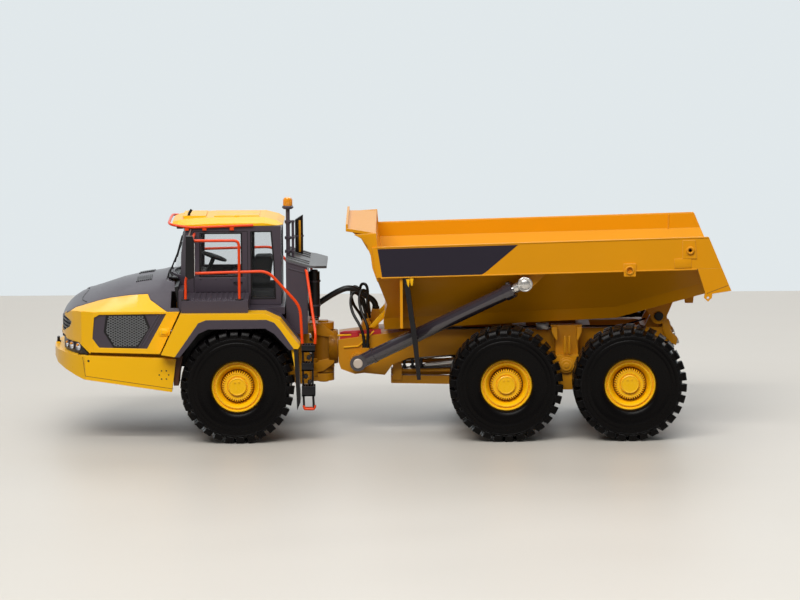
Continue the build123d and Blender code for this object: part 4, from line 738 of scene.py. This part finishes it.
def trim_rails():
    """Smooth bent handrails and the mirrors."""
    rail_y = -38
    step_y = node_mm("steps")[0].y
    cab = node_mm("cab_shell")[0].y
    cabinet = node_mm("rear_cabinet")[0].y
    rails, sockets, mirror, glass = (Form() for _ in range(4))
    rails.tube([(-16, cab, 73.6), (-16, rail_y, 73.6), (1, rail_y, 73.6), (1, rail_y, 51.9)], 0.52, 2)
    rails.tube([(-18.5, rail_y, 51.9), (-18.3, rail_y, 61.7), (11.4, rail_y, 62.4), (22.9, rail_y, 49.6),
        (23.6, rail_y, 35.9)], 0.52, 3.2)
    rails.tube([(24.6, cabinet, 60.4), (25, cabinet - 2.6, 60.4), (28.4, step_y + 5.4, 39),
        (28.1, step_y + 5.4, 35.6)], 0.52, 1.6)
    rails.pair("handrail_tubes", FRONT, "rail_orange", replaces=("handrails",))
    for station, y, z in ((1, rail_y, 52), (-18.5, rail_y, 52)):
        sockets.lathe([(-0.1, 1.5), (0.3, 1.5), (0.45, 1), (0.45, 0)], (station, y, z), UP, 20)
    sockets.pair("rail_sockets", FRONT, BLACK)
    low, _ = node_mm("mirrors")
    mirror.side([(-18.3, 61.2), (-17.3, 59.9), (-15.2, 60.4), (-15, 73.6), (-15.6, 75.6), (-18, 75.6)], low.y,
        low.y + 2.2)
    mirror.tube([(-17.2, cab, 75.4), (-17.2, low.y + 2, 75), (-17.2, low.y + 1.2, 73)], 0.38, 1.5, 8)
    mirror.tube([(-17.4, rail_y, 61.6), (-17.4, low.y + 1, 61.6)], 0.38, 0, 8)
    mirror.pair("mirror_shells", FRONT, BLACK, soften=0.5, segments=3, replaces=("mirrors",))
    glass.box(-15.02, -14.86, low.y + 0.35, low.y + 1.85, 61.2, 73)
    glass.pair("mirror_glass", FRONT, "chrome")


def trim_ladder():
    """Hanging rungs on slim straps, the step at the bottom and the flap's bracket."""
    near = node_mm("steps")[0].y
    s_low, far = 23.3, near + 6
    rungs, foot, straps, flap = Form(), Form(), Form(), Form()
    for s_high, z_low, z_high in ((28.2, 33.3, 35.8), (27.4, 26.4, 29.3), (28.2, 17.2, 20.9)):
        rungs.box(s_low, s_high, near + 0.2, near + 1, z_low, z_high)
        rungs.box(s_low, s_high, far - 0.8, far, z_low, z_high)
        rungs.box(s_low, s_high, near + 0.2, far, z_low, z_low + 0.7)
        for tooth in range(int((s_high - s_low) / 0.95)):
            tip = s_low + tooth * 0.95
            rungs.box(tip + 0.1, tip + 0.5, near, far, z_high - 0.6, z_high)
    for station in (23.4, 26.9):
        straps.box(station, station + 0.7, near + 3.4, near + 4.2, 17, 36)
        straps.tube([(station + 0.5, near + 1, 18), (station + 0.7, near + 0.8, 12.9)], 0.42, 0, 10)
    for station, z in ((25.9, 31.2), (24.8, 24.3), (26.2, 22.2)):
        straps.lathe([(0, 0.8), (2.9, 0.8), (3.2, 0.5), (3.2, 0)], (station, near + 3.6, z), OUTWARDS, 12)
    rungs.pair("ladder_rungs", FRONT, BLACK, soften=0.1, replaces=("steps",))
    straps.pair("ladder_straps", FRONT, BLACK)
    foot.tube([(23.9, near + 0.8, 13.9), (24.3, near + 0.8, 12.5), (27.7, near + 0.8, 12.5),
        (28.1, near + 0.8, 13.9)], 0.48, 0.6)
    foot.box(24.2, 27.9, near + 0.6, far - 1, 12.1, 12.7)
    foot.pair("red_step", FRONT, "red_paint", look="rail_orange")
    flap.side([(19.6, 34.4), (20.5, 34.6), (22.2, 25.4), (21.2, 25.2)], near + 0.2, near + 3)
    flap.pair("flap_brackets", FRONT, "body_yellow", soften=0.15)


def trim_rear_of_cab():
    lid = node_mm("cabinet_lid")[0].y
    ribs, flanges, strip, ring, lens, clamp, fittings = (Form() for _ in range(7))
    for y in (-16.5, -11, 3, 9, 14.5):
        ribs.side([(18.2, 64.6), (25.9, 62.25), (25.9, 62.75), (18.2, 65.1)], y, y + 1)
    ribs.piece("lid_ribs", FRONT, "grey_lid", soften=0.2)
    for low in (63.1, 61):
        fold = [(18.2, low), (24.9, low - 1.9), (24.9, low - 1.4), (18.2, low + 0.5)]
        flanges.side(fold, lid - 0.22, lid + 0.1)
    flanges.pair("lid_flanges", FRONT, DARK, soften=0.1)
    s, y, _ = middle_of("exhaust_stack")
    strip.box(s - 0.1, s + 0.7, y - 1.75, y - 1.2, 64.4, 76.2)
    strip.piece("stack_strip", FRONT, "frame_yellow", soften=0.1)
    ring.lathe([(0, 1.5), (0, 1.75), (0.6, 1.75), (0.6, 1.5)], (s, y, 70), UP, 28, closed=True)
    ring.piece("stack_band", FRONT, DARK)
    s, y, _ = middle_of("beacon_lens")
    foot = node_mm("beacon_lens")[0].z
    lens.lathe([(0, 1.6), (0.1, 1.65), (2.3, 1.6), (2.8, 1.35), (3.1, 0.8), (3.12, 0)], (s, y, foot), UP, 32)
    for rib in range(16):
        turn = 2 * pi * rib / 16
        lens.tube([(s + radius * cos(turn), y + radius * sin(turn), foot + rise)
            for radius, rise in ((1.62, 0.1), (1.58, 2.3))], 0.12, 0, 6)
    lens.piece("beacon_dome", FRONT, "amber", replaces=("beacon_lens",))
    clamp.lathe([(0, 1.7), (-0.3, 2.05), (-0.9, 2.1), (-1, 1.2), (-1.4, 0.9)], (s, y, foot), UP, 28)
    for height in (76.8, 71, 66):
        clamp.lathe([(0, 1.1), (1.1, 1.1)], (s, y, height), UP, 20)
        clamp.tube([(s + 0.6, y - 0.9, height + 0.55), (s + 1.5, y - 1.5, height + 0.9)], 0.3, 0, 8)
    clamp.piece("mast_clamps", FRONT, DARK)
    s, y, _ = middle_of("canister")
    band = [(0, 2.16), (0, 2.4), (0.6, 2.4), (0.6, 2.16)]
    for z in (46, 55):
        fittings.lathe(band, (s + 0.05, y, z), UP, 28, closed=True)
    fittings.lathe([(-0.1, 1.5), (0.7, 1.4), (0.8, 0)], (s, y, node_mm("canister")[1].z), UP, 24)
    fittings.piece("canister_bands", FRONT, DARK)


# ---- Hitch, rear frame and hoses ----
def hose(name, points, radius, body):
    """Smooth hose held at both ends, on a curve with the points as its controls."""
    curve = bpy.data.curves.new(name, "CURVE")
    curve.dimensions = "3D"
    curve.bevel_depth = radius * MM
    curve.bevel_resolution = 4
    curve.resolution_u = 10
    curve.use_fill_caps = True
    line = curve.splines.new("NURBS")
    line.points.add(len(points) - 1)
    for control, point in zip(line.points, points):
        control.co = (*at(*point), 1)
    line.order_u = 3
    line.use_endpoint_u = True
    curve.materials.append(FINISHES["hose"])
    made = add_object(name, curve)
    if body:
        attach(made, body)
    return made


def run_hoses():
    bracket = node_mm("hose_rack")[1].z
    heat = hose("heat_hose_curve", [(25.3, 0, 43.2), (28.4, 0, 45.4), (35.6, 0, 50), (40.6, 0, 51.8),
        (45.4, 0, 49), (50.2, 0, 46.2), (50, 0, bracket - 0.2)], 1.1, None)
    bpy.context.view_layer.update()
    mesh = bpy.data.meshes.new_from_object(heat.evaluated_get(bpy.context.evaluated_depsgraph_get()))
    bpy.data.objects.remove(heat)
    for face in mesh.polygons:
        face.use_smooth = True
    halves = []
    for name, keep in (("heat_hose_back", -1), ("heat_hose_forward", 1)):
        work = bmesh.new()
        work.from_mesh(mesh)
        bmesh.ops.bisect_plane(work, geom=work.verts[:] + work.edges[:] + work.faces[:],
            plane_co=at(38.6, 0, 0), plane_no=(keep, 0, 0), clear_outer=True)
        half = add_object(name, mesh.copy())
        work.to_mesh(half.data)
        work.free()
        halves.append(half)
    rear, front = halves
    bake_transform(front)
    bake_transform(rear)
    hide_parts("heat_hose_front")
    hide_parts("heat_hose_rear")
    side = -14
    for number, (top_s, top_z, port, lean) in enumerate(((41.4, 49.6, 45.8, 0), (44.6, 50.6, 47, 1.4))):
        for mirror in (1, -1):
            made = hose(f"lift_hose_{number}_{'left' if mirror == 1 else 'right'}",
                [(port + 0.8, mirror * -7.8 + mirror * number * 2.4, 41), (port, mirror * -8, 45.4),
                (top_s + 2.4, mirror * -8.6, top_z + 0.9), (top_s - 0.4, mirror * -10, top_z + 1.2),
                (top_s - 0.6, mirror * -12, top_z - 5), (port - 1 + lean, mirror * (side - 1.5), 38.6),
                (port, mirror * (side - 1.6), 34), (port, mirror * (side - 1.6), 31)], 0.55, "rear_frame")
            if number == 0 and mirror == 1:
                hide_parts("lift_hoses")
    cuffs = Form()
    for top_s, port in ((41.4, 45.8), (44.6, 47)):
        cuffs.lathe([(0, 0.8), (1.6, 0.8), (1.6, 0.6)], (port, side - 1.6, 31), UP, 12)
    cuffs.both_sides()
    cuffs.lathe([(0, 1.35), (1.2, 1.35)], (50, 0, bracket - 0.3), UP, 20)
    cuffs.piece("hose_cuffs", REAR, BLACK)


def trim_hitch():
    """Tapered cheeks, flange bolts, brackets, pins and lines about the centre joint."""
    axis_z = 29.6
    plate, bolts, steel, dark, block = (Form() for _ in range(5))
    for step in range(12):
        turn = radians(30 * step)
        spot = (36.2, 5.3 * sin(turn), axis_z + 5.3 * cos(turn))
        bolts.lathe([(-1.6, 0.42), (-2.1, 0.42), (-2.1, 0)], spot, (1, 0, 0), 6)
    bolts.piece("flange_bolts", "hitch", DARK)
    block.lathe([(-3.4, 6.4), (-0.6, 6.4), (-0.3, 6.1), (-0.3, 5)], (36, 0, axis_z), (1, 0, 0), 40)
    for up in (1, -1):
        cheek = (27, 9.4), (30.6, 8.6), (34.6, 5.6), (34.6, 3.6), (27, 5)
        block.side([(s, axis_z + rise * up) for s, rise in cheek], -4.6, -3.4)
    block.pair("hitch_cheeks", "hitch", "frame_yellow", soften=0.25)
    for top, low in ((38.8, 36.6), (33.6, 31.8), (26.4, 24.8), (21.8, 19.4)):
        plate.plan([(24.4, -10.3), (27.1, -10.3), (28.5, -9), (28.5, -8.7), (24.4, -8.7)], low, top)
    plate.side([(24.5, 37), (26.6, 37), (26.6, 20.6), (24.5, 20.6)], -9.9, -9)
    # painted shade: the hitch brackets take the frame's yellow darkened to brown, for the shadow they lie in
    plate.pair("hitch_brackets", FRONT, "frame_yellow", look="frame_shade", soften=0.25)
    for s, y, z, r in ((25.7, -10.2, 35, 0.8), (26, -10.2, 29.4, 1), (25.7, -10.2, 22.9, 0.8)):
        steel.lathe([(-1.2, r), (0.4, r), (0.55, r * 0.7), (0.55, 0)], (s, y, z), OUTWARDS, 12)
    steel.pair("hitch_pins", FRONT, "chrome", look="steel")
    for z in (32.4, 27.6):
        dark.tube([(24.4, -9.3, z), (27.2, -9.1, z - 0.3)], 0.85, 0, 14)
        dark.tube([(24.4, -10.6, z + 1.5), (26.1, -10.6, z + 1.6), (26.9, -9.9, z + 0.4),
            (26.9, -9.3, z - 1)], 0.35, 0.8, 8)
    dark.pair("hitch_lines", FRONT, BLACK)


def trim_rear_frame():
    low, _ = node_mm("lock_bar")
    red, gold, gusset, dark, rod, pads, pipes, lamps, brackets = (Form() for _ in range(9))
    red.side([(36.9, 36.5), (38.6, 37), (45.4, 37.2), (45.4, 36.2), (38.8, 36)], low.y - 0.5, low.y + 1)
    red.side([(36.4, 34), (41, 34.4), (46.8, 34.4), (46.8, 33.5), (38, 33.2)], low.y - 0.5, low.y + 1)
    red.side([(41, 34.2), (43.6, 34.2), (43.6, 36.6), (41, 36.6)], low.y - 0.6, low.y + 1)
    red.piece("lock_bar_frame", REAR, "red_paint", soften=0.2)
    gold.side([(36, 35), (41, 35.2), (41, 35.8), (36, 35.6)], low.y - 0.3, low.y + 0.8)
    gold.side([(44, 35), (48, 35), (48, 35.8), (44, 35.8)], low.y - 0.3, low.y + 0.8)
    gold.piece("lock_bar_core", REAR, "body_yellow", soften=0.12)
    # painted highlight: the gusset strips and plates are in the brighter body yellow, for the light their
    # edges catch
    for start, end in (((49.4, 37.2), (43.6, 31.6)), ((43.6, 31.6), (38.2, 31.2))):
        gusset.strip(start, end, -14.1, 0.45, 0.5)
    gusset.side([(55.6, 44.6), (53.9, 44.8), (50.2, 41), (47.4, 37.8), (49.4, 37.6), (52.6, 40.6)], -9.4,
        -8.2)
    gusset.side([(44.6, 37.4), (48.2, 37.4), (48.2, 39.6), (46.8, 40.4), (45.4, 39)], -7.4, -6.6)
    gusset.pair("frame_gussets", REAR, "body_yellow", soften=0.12)
    # valves below the frame's side
    for s in (60.4, 63.4, 66.6):
        dark.tube([(s, -13.2, 26.8), (s + 0.1, -13.2, 23.4)], 0.55, 0, 10)
        dark.lathe([(0, 0.85), (0.9, 0.85)], (s, -13.2, 24.2), (0, 0, -1), 8)
    dark.tube([(63, -12.6, 23.2), (70, -13.4, 23.4), (80, -14.6, 24)], 0.4, 2, 8)
    dark.pair("frame_fittings", REAR, BLACK)
    rod.tube([(59, -10.5, 22.2), (68.5, -11.7, 24)], 0.75, 0, 12)
    rod.tube([(68.5, -11.7, 24), (78.5, -13, 25.4)], 1.15, 0, 16)
    rod.pair("suspension_rods", REAR, "chrome", look="steel")
    # rest pads on the rails, the pipe along them and the tail fittings
    pads.box(108.9, 113.6, -15.6, -12.4, 37.4, 39.6)
    pads.pair("rest_pads", REAR, "chrome", look="steel", soften=0.25)
    pipes.tube([(70, -14.4, 37.9), (113, -14.6, 38.6), (140, -14.6, 38.5), (149, -14.4, 41.2)], 0.35, 2, 8)
    pipes.pair("frame_pipes", REAR, BLACK)
    brackets.side([(155, 41), (157.6, 40.8), (158.6, 36.2), (160.8, 34), (160.2, 31.2), (158.4, 32.2),
        (156.4, 34.4), (155.2, 37)], -15.4, -12.2)
    brackets.pair("tail_brackets", REAR, "frame_yellow", soften=0.3)
    for z in (35.4, 32.6):
        lamps.lathe([(0, 0.95), (0.9, 0.95), (1.1, 0.7), (1.1, 0)], (158.8 + (35.4 - z) * 0.5, -13.8, z),
            (1, 0, 0.25), 18)
    lamps.pair("tail_fittings", REAR, "chrome", look="steel")


def trim_bogie():
    low, _ = node_mm("bogie_brackets")
    ribs, caps = Form(), Form()
    for s in (118.7, 120.3):
        ribs.side([(s, 29.8), (s + 0.7, 29.8), (s + 0.7, 36.2), (s, 36.2)], low.y - 0.7, low.y + 1)
    # flared shoulders
    for toe, waist, up in ((114.2, 115.8, 1), (125.3, 124, -1)):
        ribs.side([(toe, 39.4), (toe, 37.8), (toe + up * 0.5, 36.6), (waist, 34.6), (waist + up * 0.6, 34.6),
            (waist + up * 0.6, 39.4)], low.y + 0.1, low.y + 3)
    ribs.pair("bracket_ribs", REAR, "frame_yellow", soften=0.25, segments=3)
    for profile_r, depth in ((2.9, 0.5), (2.1, 1), (1, 1.3)):
        caps.lathe([(-0.4, profile_r), (depth - 0.15, profile_r), (depth, profile_r - 0.15), (depth, 0)],
            (119.6, -24.2, 25.5), OUTWARDS, 28)
    caps.pair("bogie_caps", REAR, "frame_yellow")


def trim_cylinders():
    for side, name in ((1, "left"), (-1, "right")):
        base, eye = Vector((43.5, -20.8 * side, 26.3)), Vector((104.15, -38.6 * side, 57.3))
        line, length = (eye - base).normalized(), (eye - base).length
        collar, pin, head = Form(), Form(), Form()
        gland = [(0, 2.6), (0.15, 3), (2.8, 3), (3, 2.8), (3, 1.55)]
        collar.lathe(gland, base + line * (length - 8.2), line, 36)
        collar.lathe([(0, 2.6), (0.1, 2.78), (1.3, 2.78), (1.4, 2.6)], base + line * 6, line, 36)
        collar.tube([base + line * (length - 7) + Vector((0, -0.4 * side, 2.3)),
            base + line * (length - 7) + Vector((-0.5, -0.6 * side, 3.6))], 0.8, 0, 12)
        collar.piece(f"barrel_collars_{name}", f"barrel_{name}", "barrel_dark")
        out = (0, -side, 0)
        pin.lathe([(0, 1.75), (0.45, 1.75), (0.6, 1.55), (0.6, 0)], (43.5, -22.5 * side, 26.3), out, 32)
        pin.piece(f"base_pin_{name}", f"barrel_{name}", "chrome", look="pin_face")
        face = eye.y - 1.3 * side
        cap = [(-0.3, 2.7), (0.25, 2.7), (0.45, 2.4), (0.3, 2), (0.3, 1.75), (0.75, 1.6), (0.95, 1.3),
            (0.95, 0)]
        head.lathe(cap, (eye.x, face, eye.z), out, 36)
        for turn in (35, 150, 205, 325):
            spot = (eye.x + 2.15 * cos(radians(turn)), face, eye.z + 2.15 * sin(radians(turn)))
            head.lathe([(0, 0.36), (0.6, 0.36), (0.65, 0)], spot, out, 6)
        head.lathe([(0, 1.75), (1.6, 1.75), (1.8, 1.5)], eye - line * 4.2, line, 28)
        head.piece(f"rod_head_{name}", f"rod_{name}", "chrome", look="cast_steel")


# ---- Dump body ----
def trim_dump_body():
    low, high = node_mm("dump_body")
    face = low.y + 0.6
    stripe, edge, plate, ring, dark, gusset, seam, hold, weld = (Form() for _ in range(9))
    stripe.side([(51, 70.5), (101.6, 71.75), (89.9, 61.9), (88.6, 61.1), (86.8, 60.85), (52.6, 60.35)],
        face - 0.06, face + 0.2)
    stripe.pair("body_stripe", BODY, DARK, look="navy_stripe")
    # folded upper and lower edges of the band
    for (s0, z0), (s1, z1) in (((50.6, 71.05), (170.2, 74.05)), ((52.2, 60), (166, 62.45))):
        fold = [(s0, z0 - 0.25), (s1, z1 - 0.25), (s1, z1 + 0.25), (s0, z0 + 0.25)]
        edge.side(fold, face - 0.18, face + 0.5)
    edge.pair("band_edges", BODY, "dump_yellow", soften=0.15)
    plate.side([(158, 62.9), (164.1, 63.05), (164, 66.5), (157.9, 66.35)], face - 0.22, face)
    plate.pair("blank_plates", BODY, "dump_yellow", soften=0.1)
    lip = [(-0.3, 1.6), (0.35, 1.6), (0.5, 1.4), (0.5, 1.1), (-0.3, 1.1)]
    ring.lathe(lip, (141.8, low.y, 62.36), OUTWARDS, 28, closed=True)
    ring.lathe([(-0.3, 1.45), (0.55, 1.45), (0.75, 1.2), (0.75, 0.9), (0.1, 0.75), (0.1, 0)],
        (163.6, low.y + 0.3, 69.4), OUTWARDS, 28)
    ring.pair("band_rings", BODY, "dump_yellow")
    dark.lathe([(0, 0.6), (0.1, 0.6), (0.1, 0)], (163.6, low.y + 0.1, 69.4), OUTWARDS, 16)
    dark.lathe([(-0.4, 1.65), (0.5, 1.65), (0.7, 1.4), (0.7, 0)], (153.8, -15.6, 42.2), OUTWARDS, 28)
    dark.pair("hinge_caps", BODY, BLACK)
    gusset.side([(42.5, 75.7), (45.1, 74.3), (47.2, 71.6), (48.5, 68.1), (49.1, 63.5), (50.9, 58.4),
        (52, 60.4), (51, 71), (50.6, 76.2)], low.y + 1.4, low.y + 2)
    gusset.pair("visor_gussets", BODY, "dump_yellow", soften=0.15)
    # painted shade: brown line along the fold of the cheek, where shade falls
    seam.strip((169.6, 53.7), (177.3, 56.6), face, 0.05, 0.22)
    seam.pair("cheek_folds", BODY, "frame_yellow", look="crease_shade")
    # brackets that hold the mud guards
    hold.side([(61.2, 59.6), (62.6, 59.6), (62.2, 56.4), (61.6, 57.6)], face + 0.3, face + 1.6)
    hold.side([(62.6, 60), (64, 60.2), (63.6, 57), (62.9, 57.2)], face + 0.1, face + 1.2)
    hold.pair("guard_brackets", BODY, "body_yellow", soften=0.15)
    # weld on the inside of the load space
    weld.tube([(160.5, 2 - high.y, 66), (160.7, 2 - high.y, 73.6)], 0.25, 0, 8)
    weld.pair("wall_welds", BODY, "dump_yellow")


def lay_floor():
    """Plain pale table that ends some way behind the truck and throws back less light than it shows."""
    bpy.ops.mesh.primitive_plane_add(size=1, location=(0, -1.807, 0))
    floor = bpy.context.object
    floor.name = "floor"
    floor.scale = (8, 4.38, 1)
    paint = finish("pale_table", (0.56, 0.525, 0.47), 0.42, vary=0.03, grain=120, bump=0.01)
    tree = paint.node_tree
    color = tree.nodes["Principled BSDF"].inputs["Base Color"]
    thrown = add_node(tree, "LightPath", {}).outputs["Is Diffuse Ray"]
    tree.links.new(blend(tree, thrown, color.links[0].from_socket, (0.16, 0.14, 0.12)), color)
    floor.data.materials.append(paint)


place_camera()
light_studio()
lay_floor()
dress_nodes()
dress_wheels()
weave_grilles()
trim_hood()
trim_lamps()
trim_bumper()
trim_fenders()
trim_cab()
trim_roof()
trim_rails()
trim_ladder()
trim_rear_of_cab()
run_hoses()
trim_hitch()
trim_rear_frame()
trim_bogie()
trim_cylinders()
trim_dump_body()
smooth_copy("hood_shell", "hood", 22)
smooth_copy("hood_top", "hood", 16)
smooth_copy("bumper", "front_unit", 22)
